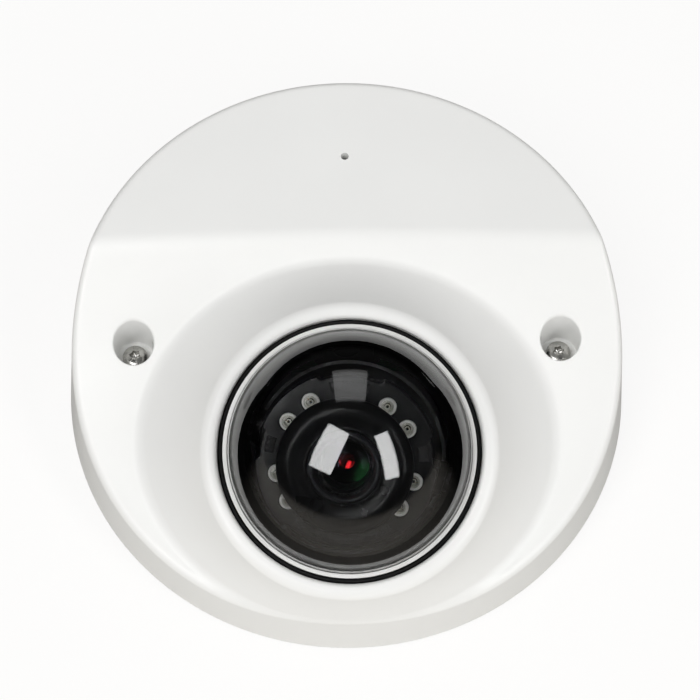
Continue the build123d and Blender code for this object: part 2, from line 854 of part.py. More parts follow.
def lens_mount():
    """The holder on the sensor board, with the lens screwed into its tube."""
    holder = block(mount_block, mount_block, mount_low, mount_top)
    holder += rod(lens_radius + 2, mount_low, frame_high)
    holder -= rod(lens_radius, lens_low, frame_high + 1)
    holder -= block(sensor_size + 2.6, sensor_size + 2.6, mount_low - 1, mount_top - 2)
    holder -= rod(lens_bore - 1, mount_low, mount_top + 3)
    return lens_frame * holder


def ir_cut_filter():
    high = mount_top - 2
    return lens_frame * block(sensor_size + 1.6, sensor_size + 1.6, high - filter_thick, high)


def sensor_board():
    return lens_frame * block(mount_block, mount_block, mount_low - 1.0, mount_low)


def image_sensor():
    return lens_frame * block(sensor_size, sensor_size, mount_low, mount_low + sensor_thick)


PIECES = {
    "base_housing": base_housing,
    "base_seal": base_seal,
    "cable_grommet": cable_grommet,
    "main_board": main_board,
    "board_screws": board_screws,
    "processor": processor,
    "heat_spreader": heat_spreader,
    "memory_chips": memory_chips,
    "ethernet_transformer": ethernet_transformer,
    "capacitors": capacitors,
    "cable_header": cable_header,
    "lens_connector": lens_connector,
    "memory_card_slot": memory_card_slot,
    "reset_switch": reset_switch,
    "reset_button": reset_button,
    "gimbal_seat": gimbal_seat,
    "seat_screws": seat_screws,
    "pan_retainer": pan_retainer,
    "inner_liner": inner_liner,
    "pan_yoke": pan_yoke,
    "tilt_frame": tilt_frame_ring,
    "tilt_pins": tilt_pins,
    "lens_cradle": lens_cradle,
    "cradle_clip": cradle_clip,
    "led_board": led_board,
    "ir_leds": ir_leds,
    "led_bezel": led_bezel,
    "lens_hood": lens_hood,
    "lens_barrel": lens_barrel,
    "lens_front_ring": lens_front_ring,
    "front_lens": front_lens,
    "rear_lenses": rear_lenses,
    "lens_mount": lens_mount,
    "ir_cut_filter": ir_cut_filter,
    "sensor_board": sensor_board,
    "image_sensor": image_sensor,
    "wedge_cover": wedge_cover,
    "cover_screws": cover_screws,
    "screw_retainers": screw_retainers,
    "dome_bubble": dome_bubble,
    "dome_trim_ring": dome_trim_ring,
    "dome_seal": dome_seal,
    "dome_gasket": dome_gasket,
    "dome_clamp_ring": dome_clamp_ring,
    "clamp_screws": clamp_screws,
    "mic_boot": mic_boot,
    "microphone": microphone,
}

os.makedirs("parts", exist_ok=True)
for name, make in PIECES.items():
    made = make()
    shape = Compound(children=made) if isinstance(made, list) else made
    export_step(shape, f"parts/{name}.step")
    print(name)
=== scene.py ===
"""Compact wedge dome camera: smooth surfaces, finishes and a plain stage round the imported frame.

Lengths are metres and angles radians, as Blender keeps them. The frame has Z out of the mounting surface, and Y
from the dome towards the microphone end. Run as a script it builds everything; registered, it lists its steps in
a panel.
"""
import json
import math

import bmesh
import bpy
import numpy as np
from bpy.props import FloatProperty, FloatVectorProperty, IntProperty, PointerProperty
from mathutils import Matrix, Vector


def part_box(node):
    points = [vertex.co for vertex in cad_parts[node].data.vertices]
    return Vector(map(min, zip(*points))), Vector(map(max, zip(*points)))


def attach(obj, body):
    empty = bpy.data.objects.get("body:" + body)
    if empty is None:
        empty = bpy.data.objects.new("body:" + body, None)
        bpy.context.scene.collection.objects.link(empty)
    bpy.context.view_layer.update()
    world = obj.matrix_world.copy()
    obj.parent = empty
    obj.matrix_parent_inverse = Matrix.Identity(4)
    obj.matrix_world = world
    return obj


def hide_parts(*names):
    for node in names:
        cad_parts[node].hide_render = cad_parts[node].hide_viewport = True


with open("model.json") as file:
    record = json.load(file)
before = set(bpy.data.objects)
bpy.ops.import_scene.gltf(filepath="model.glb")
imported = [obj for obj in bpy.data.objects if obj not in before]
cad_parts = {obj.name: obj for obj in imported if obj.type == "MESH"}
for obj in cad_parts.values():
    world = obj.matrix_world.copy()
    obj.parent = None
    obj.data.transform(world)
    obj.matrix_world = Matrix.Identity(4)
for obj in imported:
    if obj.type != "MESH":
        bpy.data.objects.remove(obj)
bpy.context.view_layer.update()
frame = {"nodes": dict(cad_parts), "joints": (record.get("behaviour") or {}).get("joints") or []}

bl_info = {
    "name": "Wedge dome camera",
    "version": (1, 0, 0),
    "blender": (4, 5, 0),
    "location": "3D View > Sidebar > Dome camera",
    "description": "Smooth surfaces, finishes and stage for a compact wedge dome camera",
    "category": "Object",
}

MM = 0.001
JOINTS = {joint["name"]: joint for joint in frame["joints"]}
DOME_CENTRE = np.array(JOINTS["pan"]["pos_m"])
DOME_AXIS = np.array(JOINTS["pan"]["axis"])
OPTICAL_AXIS = np.array(JOINTS["lens_rotate"]["axis"])
TILT_AXIS = np.array(JOINTS["tilt"]["axis"])
SCREW_HEAD = 2.35 * MM
WELL_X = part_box("cover_screws")[1].x - SCREW_HEAD
MIC_Y = (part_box("microphone")[0].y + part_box("microphone")[1].y) / 2
LENS_ROLL = math.radians(13)
LEDGE_TOP, LEDGE_LOW = -0.8 * MM, -2.2 * MM


def length(name, millimetres, description):
    """A size in millimetres as a Blender length."""
    return FloatProperty(name=name, default=millimetres * MM, precision=5, unit="LENGTH", description=description)


def angle(name, degrees, description):
    """An angle in degrees as a Blender angle."""
    return FloatProperty(name=name, default=math.radians(degrees), subtype="ANGLE", description=description)


def colour(name, hex_text, description):
    """A colour from an sRGB hex value."""
    return FloatVectorProperty(
        name=name, default=linear(hex_text)[:3], size=3, min=0, max=1, subtype="COLOR", description=description)


def linear(hex_text):
    """Linear RGBA from an sRGB hex value."""
    value = np.array([int(hex_text[index:index + 2], 16) / 255 for index in (1, 3, 5)])
    value = np.where(value <= 0.04045, value / 12.92, ((value + 0.055) / 1.055) ** 2.4)
    return (*[float(part) for part in value], 1.0)


class CoverSizes(bpy.types.PropertyGroup):
    case_radius: length("Case radius", 53.0, "Radius of the case at the mounting surface")
    wall_draft: angle("Wall draft", 4.5, "Lean of the side wall")
    rim_height: length("Rim height", 31.4, "Height of the rim above the mounting surface")
    top_cone: angle("Top slope", 1.0, "Slope of the top face towards the rim")
    rim_round: length("Rim round", 1.3, "Radius of the edge between side wall and faces")
    crease_round: length("Ridge round", 1.1, "Radius of the edge between top face and scooped front")
    wall: length("Wall", 2.2, "Thickness of the cover")
    low: length("Lower edge", 0.5, "Height of the cover's lower edge")
    scoop_radius: length("Scoop radius", 117.0, "Radius of the hollow front face")
    scoop_y: length("Scoop place", -50.0, "Lengthwise place of the hollow's lowest line")
    scoop_height: length("Scoop height", 11.0, "Height of the hollow's lowest line")
    lip_top: length("Lip height", 1.7, "Height of the lip above the dome's centre")
    lip_radius: length("Lip radius", 26.75, "Outer radius of the lip")
    lip_bore: length("Lip bore", 24.05, "Inner radius of the lip")
    lip_round: length("Lip round", 1.25, "Radius of the lip's outer edge")
    flare_slope: FloatProperty(
        name="Flare slope", default=0.42, description="Growth of the flare just below the lip")
    flare_bow: FloatProperty(name="Flare bow", default=21.5, description="How fast the flare opens, per metre")
    flare_depth: length("Flare depth", 18.0, "Depth over which the flare opens")
    neck_blend: length("Neck blend", 1.2, "Radius of the hollow between flare and front face")
    columns: IntProperty(name="Columns", default=384, min=48, description="Steps round the cover")
    rows: IntProperty(name="Rows", default=132, min=24, description="Steps over the cover's outside")
    well_radius: length("Well radius", 3.75, "Radius of a screw well")
    well_wall: length("Well wall", 1.6, "Wall round a screw well")
    well_floor: length("Well floor", 14.4, "Height of a screw well's floor")
    well_edge: length("Well edge", 0.45, "Radius of a screw well's edge")
    mic_radius: length("Sound hole", 0.75, "Radius of the microphone's hole")


class DomeSizes(bpy.types.PropertyGroup):
    radius: length("Dome radius", 22.198, "Outer radius of the clear dome")
    wall: length("Dome wall", 1.2, "Thickness of the clear dome")
    flange_radius: length("Flange radius", 24.6, "Outer radius of the dome's flange")
    flange_top: length("Flange top", -2.7, "Height of the flange, from the dome's centre")
    flange_low: length("Flange bottom", -4.0, "Lower side of the flange, from the dome's centre")
    trim_wall: length("Trim wall", 0.8, "Thickness of the trim ring round the dome")
    trim_top: length("Trim top", 0.9, "Height of the trim ring")
    seal_top: length("Seal top", -0.4, "Height of the black seal")
    mask: angle("Mask edge", 60.0, "From the mask's own axis to the edge of the black print inside the dome")
    mask_end: angle("Mask end", 80.0, "From the mask's own axis to where white print takes over")
    mask_lean: angle("Mask lean", 4.0, "Lean of the mask's axis towards the low front")
    columns: IntProperty(name="Columns", default=256, min=24, description="Steps round the dome")


class LensUnitSizes(bpy.types.PropertyGroup):
    board_low: length("LED board", 8.2, "Lower side of the LED board along the optical axis")
    led_low: length("LED seat", 9.2, "Where the LEDs stand, along the optical axis")
    led_height: length("LED height", 1.5, "Height of an LED")
    led_radius: length("LED radius", 1.58, "Radius of an LED's silver dish")
    led_window: length("LED window", 1.66, "Radius of the bezel's window over an LED")
    led_flat: length("LED flat", 0.8, "From an LED's centre to the straight inner side of its window")
    led_circle: length("LED circle", 12.3, "Radius of the circle of LEDs")
    bezel_top: length("Bezel top", 10.9, "Front of the bezel along the optical axis")
    bezel_thick: length("Bezel plate", 0.9, "Thickness of the bezel")
    bezel_waist: length("Bezel waist", 15.2, "Radius of the bezel between its lobes")
    bezel_lobe: length("Bezel lobe", 15.95, "Radius of the bezel at its lobes")
    hood_base: length("Hood base", 11.5, "Radius of the hood at the bezel")
    hood_bulge: length("Hood bulge", 10.4, "Radius of the hood's inside at its bulge")
    hood_edge: length("Hood edge", 12.15, "Radius of the hood's outer edge, which hangs over the LEDs")
    hood_rise: length("Hood rise", 1.05, "How far the hood's face swells before the lens ring")
    hood_top: length("Hood top", 15.0, "Front of the hood along the optical axis")
    hood_wall: length("Hood wall", 1.0, "Thickness of the hood")
    lens_flange: length("Lens flange", 6.5, "Outer radius of the lens ring")
    lens_glass: length("Lens glass", 5.6, "Radius of the front lens")
    lens_bulge: length("Lens bulge", 1.0, "How far the front lens stands out")
    barrel_bore: length("Barrel bore", 4.6, "Inner radius of the lens barrel")
    middle_glass: length("Middle lens", 8.6, "Front of the small middle lens along the optical axis")


class Finishes(bpy.types.PropertyGroup):
    shell: colour("Shell", "#efefed", "Powder coat of the cover")
    casting: colour("Casting", "#b9bbbe", "Die-cast base")
    rubber: colour("Rubber", "#1b1b1c", "Seals and grommets")
    black: colour("Black plastic", "#0e0e10", "Moulded black parts")
    board: colour("Solder mask", "#1d5a33", "Circuit boards")
    steel: colour("Steel", "#c9c8c4", "Screws")


class StageSettings(bpy.types.PropertyGroup):
    focal: length("Focal length", 160.1, "Focal length of the camera")
    key: FloatProperty(name="Key", default=5.4, min=0, description="Brightness of the left softbox")
    second: FloatProperty(name="Second", default=5.6, min=0, description="Brightness of the right softbox")
    above: FloatProperty(name="Above", default=0.75, min=0, description="Brightness of the softbox above")
    room: FloatProperty(name="Room", default=0.28, min=0, description="Brightness of the room")
    front_room: FloatProperty(name="Front", default=0.4, min=0, description="Further brightness low in front")
    mirrored_room: FloatProperty(
        name="Mirrored room", default=0.02, min=0, description="The room's brightness in gloss and glass")


class DomeCamera(bpy.types.PropertyGroup):
    cover: PointerProperty(type=CoverSizes)
    dome: PointerProperty(type=DomeSizes)
    lens: PointerProperty(type=LensUnitSizes)
    finish: PointerProperty(type=Finishes)
    stage: PointerProperty(type=StageSettings)


# Places: a place is a 3 by 3 array of its axes, one in each column, and its origin

def place_of(origin, z_axis, x_axis):
    """The place at origin with that Z axis and the X axis nearest to x_axis."""
    z = z_axis / np.linalg.norm(z_axis)
    x = x_axis - np.dot(x_axis, z) * z
    x = x / np.linalg.norm(x)
    return np.stack([x, np.cross(z, x), z], 1), np.asarray(origin, float)


UPRIGHT = (np.eye(3), np.zeros(3))
NECK = place_of(DOME_CENTRE, DOME_AXIS, np.array([1.0, 0, 0]))
TILT = place_of(DOME_CENTRE, OPTICAL_AXIS, TILT_AXIS)
LENS = place_of(DOME_CENTRE, OPTICAL_AXIS,
                math.cos(LENS_ROLL) * TILT[0][:, 0] + math.sin(LENS_ROLL) * TILT[0][:, 1])


def put(points, place):
    """Points given in a place's own axes, in the frame."""
    return points @ place[0].T + place[1]


def moved(place, along):
    """The place shifted along its own axes."""
    return place[0], put(np.array(along, float), place)


def spun(place, turn):
    """The place turned about its own Z axis."""
    c, s = math.cos(turn), math.sin(turn)
    return place[0] @ np.array([[c, -s, 0], [s, c, 0], [0, 0, 1]]), place[1]


# Meshes

def new_piece(name, parts, sharp=35):
    """One object from grids of points: each part is (points, whether its rows close, whether its columns close).

    A grid has one quad between each two neighbouring rows and columns. Points that meet are merged, so poles and
    seams close, and each closed skin is then turned outwards.
    """
    points, faces, start = [], [], 0
    for grid, rows_close, columns_close in parts:
        rows, columns = grid.shape[:2]
        index = start + np.arange(rows * columns).reshape(rows, columns)
        if rows_close:
            index = np.vstack([index, index[:1]])
        if columns_close:
            index = np.hstack([index, index[:, :1]])
        quads = np.stack([index[:-1, :-1], index[:-1, 1:], index[1:, 1:], index[1:, :-1]], -1)
        faces.append(quads.reshape(-1, 4))
        points.append(grid.reshape(-1, 3))
        start += rows * columns
    mesh = bpy.data.meshes.new(name)
    mesh.from_pydata(np.concatenate(points).tolist(), [], np.concatenate(faces).tolist())
    piece = bpy.data.objects.new(name, mesh)
    bpy.context.scene.collection.objects.link(piece)
    clean(mesh, sharp)
    return piece


def smooth(mesh, sharp):
    """Shades smoothly but for edges that turn by more than that many degrees."""
    mesh.shade_smooth()
    mesh.set_sharp_from_angle(angle=math.radians(sharp))


def clean(mesh, sharp=35):
    """Merges what meets, turns the faces outwards and shades the mesh."""
    work = bmesh.new()
    work.from_mesh(mesh)
    bmesh.ops.remove_doubles(work, verts=work.verts, dist=2e-7)
    bmesh.ops.dissolve_degenerate(work, edges=work.edges, dist=1e-7)
    bmesh.ops.recalc_face_normals(work, faces=work.faces)
    work.to_mesh(mesh)
    work.free()
    smooth(mesh, sharp)
    mesh.update()


def finish_piece(piece, body, slot_name, material, *nodes):
    """Gives the piece its material, its body and the nodes that it stands for."""
    piece.data.materials.clear()
    piece.data.materials.append(material)
    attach(piece, body)
    if nodes:
        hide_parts(*nodes)


def full_turn(steps):
    """Evenly spaced angles round a circle."""
    return np.arange(steps) * 2 * np.pi / steps


def around(radius, height, turn):
    """Points at those radii, heights and angles round the Z axis: (r cos t, r sin t, h)."""
    radius, height, turn = np.broadcast_arrays(radius, height, turn)
    return np.stack([radius * np.cos(turn), radius * np.sin(turn), height], -1)


def turned(outline, place, columns, closed=True):
    """A surface of revolution: each outline point (radius, height) goes round the place's Z axis."""
    outline = np.asarray(outline, float)
    return put(around(outline[:, :1], outline[:, 1:2], full_turn(columns)), place), closed, True


def rounded(corners, radius=0.0, steps=5):
    """A closed outline with each corner on an arc: a corner is (across, up) or (across, up, its own radius)."""
    corners = [tuple(corner) + ((radius,) if len(corner) == 2 else ()) for corner in corners]
    result = []
    for index, (across, up, bend) in enumerate(corners):
        here = np.array([across, up])
        before = np.array(corners[index - 1][:2]) - here
        after = np.array(corners[(index + 1) % len(corners)][:2]) - here
        reach = min(np.linalg.norm(before), np.linalg.norm(after)) / 2
        before, after = before / np.linalg.norm(before), after / np.linalg.norm(after)
        half = math.acos(np.clip(before @ after, -1, 1)) / 2
        if bend <= 0 or half > 1.56:
            result.append(here)
            continue
        bend = min(bend, 0.98 * reach * math.tan(half))
        middle = (before + after) / np.linalg.norm(before + after)
        centre = here + middle * bend / math.sin(half)
        first, last = (here + arm * bend / math.tan(half) - centre for arm in (before, after))
        for share in np.linspace(0, 1, steps + 1):
            arm = (1 - share) * first + share * last
            result.append(centre + arm / np.linalg.norm(arm) * bend)
    return np.array(result)


def arc_through(first, middle, last, steps):
    """Points on the circular arc through three points of a plane."""
    a, b, c = (np.array(point, float) for point in (first, middle, last))
    d = 2 * (a[0] * (b[1] - c[1]) + b[0] * (c[1] - a[1]) + c[0] * (a[1] - b[1]))
    squares = np.array([a @ a, b @ b, c @ c])
    centre = np.array([squares @ [b[1] - c[1], c[1] - a[1], a[1] - b[1]],
                       squares @ [c[0] - b[0], a[0] - c[0], b[0] - a[0]]]) / d
    turns = [math.atan2(*(point - centre)[::-1]) for point in (a, b, c)]
    sweep = (turns[2] - turns[0] + math.pi) % (2 * math.pi) - math.pi
    turn = turns[0] + np.linspace(0, 1, steps) * sweep
    radius = np.linalg.norm(a - centre)
    return centre + radius * np.stack([np.cos(turn), np.sin(turn)], 1)


def sphere_cap(edge_radius, edge_height, rise, steps):
    """Half outline of a spherical cap from its edge to its top on the axis."""
    ball = (edge_radius ** 2 + rise ** 2) / (2 * abs(rise))
    turn = np.linspace(math.asin(edge_radius / ball), 0, steps)
    drop = ball * (1 - np.cos(turn))
    return np.stack([ball * np.sin(turn), edge_height + rise - math.copysign(1, rise) * drop], 1)


def prism(outline, levels, place):
    """A bar with that closed outline across it: each level is (share of the outline's size, height)."""
    outline = np.asarray(outline, float)
    middle = outline.mean(0)
    rows = [np.column_stack([middle + share * (outline - middle), np.full(len(outline), height)])
            for share, height in levels]
    return put(np.array(rows), place), False, True


def box_outline(width, depth, bend=0.0, steps=4):
    """A rectangle about the axis, with rounded corners."""
    return rounded([(-width / 2, -depth / 2), (width / 2, -depth / 2), (width / 2, depth / 2),
                    (-width / 2, depth / 2)], bend, steps)


def carve(piece, cutters, operation):
    """Adds each cutter to the piece or takes it away, with Blender's solid modelling, and keeps the result."""
    for cutter in cutters:
        change = piece.modifiers.new(cutter.name, "BOOLEAN")
        change.operation = operation
        change.solver = "MANIFOLD"
        change.object = cutter
    bpy.context.view_layer.update()
    result = bpy.data.meshes.new_from_object(piece.evaluated_get(bpy.context.evaluated_depsgraph_get()))
    if len(result.polygons) <= len(piece.data.polygons):
        raise RuntimeError(f"{piece.name}: the cut changed nothing")
    piece.modifiers.clear()
    old = piece.data
    piece.data = result
    bpy.data.meshes.remove(old)
    for cutter in cutters:
        bpy.data.meshes.remove(cutter.data)


# Cover

def round_max(a, b, radius):
    """Where both solids are, with their common edge on that radius: distances are negative inside."""
    return np.minimum(-radius, np.maximum(a, b)) + np.hypot(np.maximum(radius + a, 0), np.maximum(radius + b, 0))


def round_min(a, b, radius):
    """Where either solid is, with a hollow of that radius between them."""
    return -round_max(-a, -b, radius)


def cover_distance(points, size, inset, lid, bends):
    """Signed distance to the case, negative inside, for its outside or, moved in by inset, for its inside.

    The top is a shallow cone, the front a horizontal cylinder's hollow, the flare a curve turned about the dome's
    axis under a flat lid, and the side a drafted cone. Their edges are rounded by the four bends.
    """
    rim_bend, ridge_bend, lip_bend, neck_bend = bends
    x, y, z = np.moveaxis(points, -1, 0)
    across = np.hypot(x, y)
    draft = math.tan(size.wall_draft)
    wall = (across - (size.case_radius - inset - draft * z)) * math.cos(size.wall_draft)
    rim_z = size.rim_height - inset
    rim_r = size.case_radius - inset - draft * rim_z
    top = (z - rim_z - (rim_r - across) * math.tan(size.top_cone)) * math.cos(size.top_cone)
    front = size.scoop_radius + inset - np.hypot(y - size.scoop_y, z - size.scoop_height - size.scoop_radius)
    own = (points - NECK[1]) @ NECK[0]
    depth = np.clip(size.lip_top - own[..., 2], 0, size.flare_depth)
    steep = math.atan(size.flare_slope + size.flare_bow * size.flare_depth)
    side = np.hypot(own[..., 0], own[..., 1]) + inset / math.cos(steep)
    side = side - (size.lip_radius + size.flare_slope * depth + size.flare_bow * depth ** 2)
    side = side * math.cos(math.atan(size.flare_slope))
    neck = round_max(side, own[..., 2] - lid, lip_bend)
    body = round_min(round_max(top, front, ridge_bend), neck, neck_bend)
    return round_max(round_max(body, wall, rim_bend), size.low - z, rim_bend / 4)


def cast(origin, directions, distance):
    """The points where rays from origin leave a solid, by halving the interval, as the solid is star-shaped."""
    longest, halvings = 150 * MM, 34
    near, far = np.zeros(directions.shape[:-1]), np.full(directions.shape[:-1], longest)
    for _ in range(halvings):
        middle = (near + far) / 2
        inside = distance(origin + directions * middle[..., None]) < 0
        near, far = np.where(inside, middle, near), np.where(inside, far, middle)
    return origin + directions * near[..., None]


def sweep(first, last, share, origin):
    """Directions that turn evenly from each first point to its last point, seen from origin."""
    a, b = first - origin, last - origin
    a, b = (arm / np.linalg.norm(arm, axis=-1, keepdims=True) for arm in (a, b))
    whole = np.arccos(np.clip((a * b).sum(-1), -1, 1))[None, :, None]
    share = np.asarray(share)[..., None]
    return (np.sin((1 - share) * whole) * a[None] + np.sin(share * whole) * b[None]) / np.sin(whole)


def skin(first, last, rows, origin, distance):
    """Rows of points over a star-shaped solid between two rings, closer together where it bends.

    A fine first set of rows gives each step's length and bend. A millimetre then counts as much as 5 degrees, the
    sum is smoothed along and round the solid, and the rows are spread evenly over it.
    """
    fine = np.linspace(0, 1, 700)
    share = np.repeat(fine[:, None], len(first), 1)
    points = cast(origin, sweep(first, last, share, origin), distance)
    step = np.diff(points, axis=0)
    size = np.linalg.norm(step, axis=-1, keepdims=True)
    heading = step / size
    bend = np.zeros(size.shape[:2])
    bend[1:] = np.linalg.norm(np.diff(heading, axis=0), axis=-1)
    spread = np.exp(-np.linspace(-2, 2, 21) ** 2)
    bend = np.apply_along_axis(np.convolve, 0, bend, spread / spread.sum(), "same")
    weight = size[..., 0] / MM + bend / math.radians(5)
    ring = np.fft.rfftfreq(len(first), 1 / len(first))
    weight = np.fft.irfft(np.fft.rfft(weight, axis=1) * np.exp(-(ring / 40) ** 2), len(first), axis=1)
    total = np.vstack([np.zeros(len(first)), np.cumsum(np.maximum(weight, 1e-3), 0)])
    total = total / total[-1]
    even = np.linspace(0, 1, rows)
    share = np.stack([np.interp(even, total[:, column], fine) for column in range(len(first))], 1)
    return cast(origin, sweep(first, last, share, origin), distance)


def scoop_height_at(y, size):
    """Height of the hollow front face at a lengthwise place."""
    drop = np.sqrt(size.scoop_radius ** 2 - (y - size.scoop_y) ** 2)
    return size.scoop_height + size.scoop_radius - drop


def column_ring(radius, height, columns, place):
    """One ring of points at that radius and height."""
    return put(around(radius, height, full_turn(columns)), place)


def well_cutter(side, size):
    """A bar with the well's radius whose mouth widens on a small arc to meet the front face."""
    turn, swell, edge = full_turn(72), np.linspace(0, math.pi / 2, 7), size.well_edge
    above, seam = 3 * MM, 0.012 * MM
    radius = np.concatenate([[0, size.well_radius - edge / 2, size.well_radius],
                             size.well_radius + edge * (1 - np.cos(swell)), [size.well_radius + edge, 0]])
    x = side * WELL_X + radius[:, None] * np.cos(turn)
    y = radius[:, None] * np.sin(turn)
    face = scoop_height_at(y, size)
    floor = size.well_floor + 0 * turn
    z = np.vstack([floor, floor, floor + edge / 2, face[3:10] - edge * (1 - np.sin(swell))[:, None] + seam,
                   face[10] + above, 0 * turn + face[10].max() + above])
    return new_piece("well_cut", [(np.stack([x, y, z], -1), False, True)])


def boss_filler(side, size):
    """The tube of metal round a well, up to the middle of the front face's wall."""
    turn, outer = full_turn(96), size.well_radius + size.well_wall
    floor_wall, reach = 2 * MM, 0.55
    radius = np.concatenate([[0], [outer] * 2, np.linspace(outer, 0, 8)[1:]])
    x = side * WELL_X + radius[:, None] * np.cos(turn)
    y = radius[:, None] * np.sin(turn)
    low = size.well_floor - floor_wall + 0 * turn
    z = np.vstack([low, low, scoop_height_at(y[2:], size) - size.wall * reach])
    return new_piece("well_boss", [(np.stack([x, y, z], -1), False, True)])


class DOMECAM_OT_cover(bpy.types.Operator):
    """Builds the painted cover: outside, inside, lip, screw wells and the microphone's hole"""
    bl_idname = "domecam.cover"
    bl_label = "Cover"

    def execute(self, context):
        size, dome = context.scene.dome_camera.cover, context.scene.dome_camera.dome
        columns = size.columns
        origin = np.array([0, -15 * MM, 4 * MM])
        flat = 1e-5
        pocket, bore = dome.flange_radius + 0.2 * MM, dome.flange_radius - 1.4 * MM
        crest, beyond = (size.lip_bore + size.lip_radius) / 2 + 0.25 * MM, 5 * MM

        outside = skin(
            column_ring(crest, size.lip_top, columns, NECK),
            column_ring(size.case_radius - 1.2 * MM, size.low, columns, UPRIGHT), size.rows, origin,
            lambda points: cover_distance(points, size, 0, size.lip_top,
                                          (size.rim_round, size.crease_round, size.lip_round, size.neck_blend)))
        inside = skin(
            column_ring(size.case_radius - size.wall - math.tan(size.wall_draft) * size.low, size.low, columns,
                        UPRIGHT),
            column_ring(pocket, dome.flange_low, columns, NECK), 70, origin,
            lambda points: cover_distance(points, size, size.wall, dome.flange_low, (flat, flat, flat, flat)))
        mouth = rounded([(pocket, dome.flange_low), (pocket, LEDGE_LOW), (bore, LEDGE_LOW, 0.1 * MM),
                         (bore, LEDGE_TOP, 0.1 * MM), (size.lip_bore, LEDGE_TOP),
                         (size.lip_bore, size.lip_top, 1 * MM), (crest, size.lip_top),
                         (crest + beyond, size.lip_top), (crest + beyond, dome.flange_low)])[1:-3]
        ring = np.stack([column_ring(radius, height, columns, NECK) for radius, height in mouth])
        cover = new_piece("cover_shell", [(np.concatenate([outside, inside, ring]), True, True)])
        carve(cover, [boss_filler(1, size), boss_filler(-1, size)], "UNION")
        cuts = [well_cutter(1, size), well_cutter(-1, size)]
        hole, window = box_outline(3.4 * MM, 3.4 * MM, 1.69 * MM), box_outline(4.2 * MM, 3.8 * MM, 0.7 * MM)
        window_height, depth = size.well_floor + 3.2 * MM, size.well_radius + 2 * size.well_wall
        low, high = 10 * MM, size.well_floor + 1 * MM
        for side in (1, -1):
            place = place_of([side * WELL_X, 0, window_height], np.array([-side, 0, 0.0]), np.array([0, 0, 1.0]))
            cuts.append(new_piece("window_cut", [prism(window, [(0, 0), (1, 0), (1, depth), (0, depth)], place)]))
            place = moved(UPRIGHT, (side * WELL_X, 0, 0))
            cuts.append(new_piece("screw_cut", [prism(hole, [(0, low), (1, low), (1, high), (0, high)], place)]))
        low, edge, high = 25 * MM, 31.95 * MM, 32.4 * MM
        sound = rounded([(0, low), (size.mic_radius, low), (size.mic_radius, edge),
                         (size.mic_radius + 0.15 * MM, high), (0, high)])
        cuts.append(new_piece("sound_cut", [turned(sound, moved(UPRIGHT, (0, MIC_Y, 0)), 40, closed=False)]))
        carve(cover, cuts, "DIFFERENCE")
        smooth(cover.data, 32)
        finish_piece(cover, "cover", "white_paint", powder_coat(context), "wedge_cover")
        return {"FINISHED"}


class DOMECAM_OT_screws(bpy.types.Operator):
    """Builds the two captive screws: a domed head with a six-lobe recess, and a threaded shank"""
    bl_idname = "domecam.screws"
    bl_label = "Cover screws"

    def execute(self, context):
        size = context.scene.dome_camera.cover
        floor, top = size.well_floor, size.well_floor + 2.2 * MM
        shank, pitch, thread, screw_turn = 1.45 * MM, 0.5 * MM, 0.28 * MM, 0.2
        low = floor - 10 * MM
        turn = full_turn(96)
        recess = (0.86 + 0.15 * np.cos(6 * turn)) * MM
        rows = [(0, top - 1.25 * MM), (0.3 * recess, top - 1.2 * MM), (recess * 0.96, top - 1.05 * MM),
                (recess, top - 0.12 * MM), (recess + 0.08 * MM, top)]
        flat, dome = 1.05 * MM, 0.85 * MM
        rows += [(flat + (SCREW_HEAD - flat) * np.sin(bend) ** 1.2,
                  top - dome * (1 - np.cos(bend) ** 0.8) - 0.02 * MM)
                 for bend in np.linspace(0.25, 1, 12) * math.pi / 2]
        rows += [(SCREW_HEAD, floor + 0.15 * MM), (SCREW_HEAD - 0.12 * MM, floor), (shank, floor)]
        rows += [(shank - thread * np.abs(((height / pitch + turn / (2 * np.pi)) % 1) * 2 - 1), height)
                 for height in np.arange(floor - 0.6 * MM, low + 0.3 * MM, -pitch / 6)]
        rows += [(0.75 * shank, low), (0, low)]
        grid = np.array([around(radius, height, turn) for radius, height in rows])
        parts = []
        for side in (1, -1):
            along = (side * WELL_X * math.cos(screw_turn), -WELL_X * math.sin(screw_turn), 0)
            parts.append((put(grid, moved(spun(UPRIGHT, screw_turn * side), along)), False, True))
        screws = new_piece("screws", parts, sharp=40)
        finish_piece(screws, "cover", "steel", stainless(context), "cover_screws")
        return {"FINISHED"}


# Dome

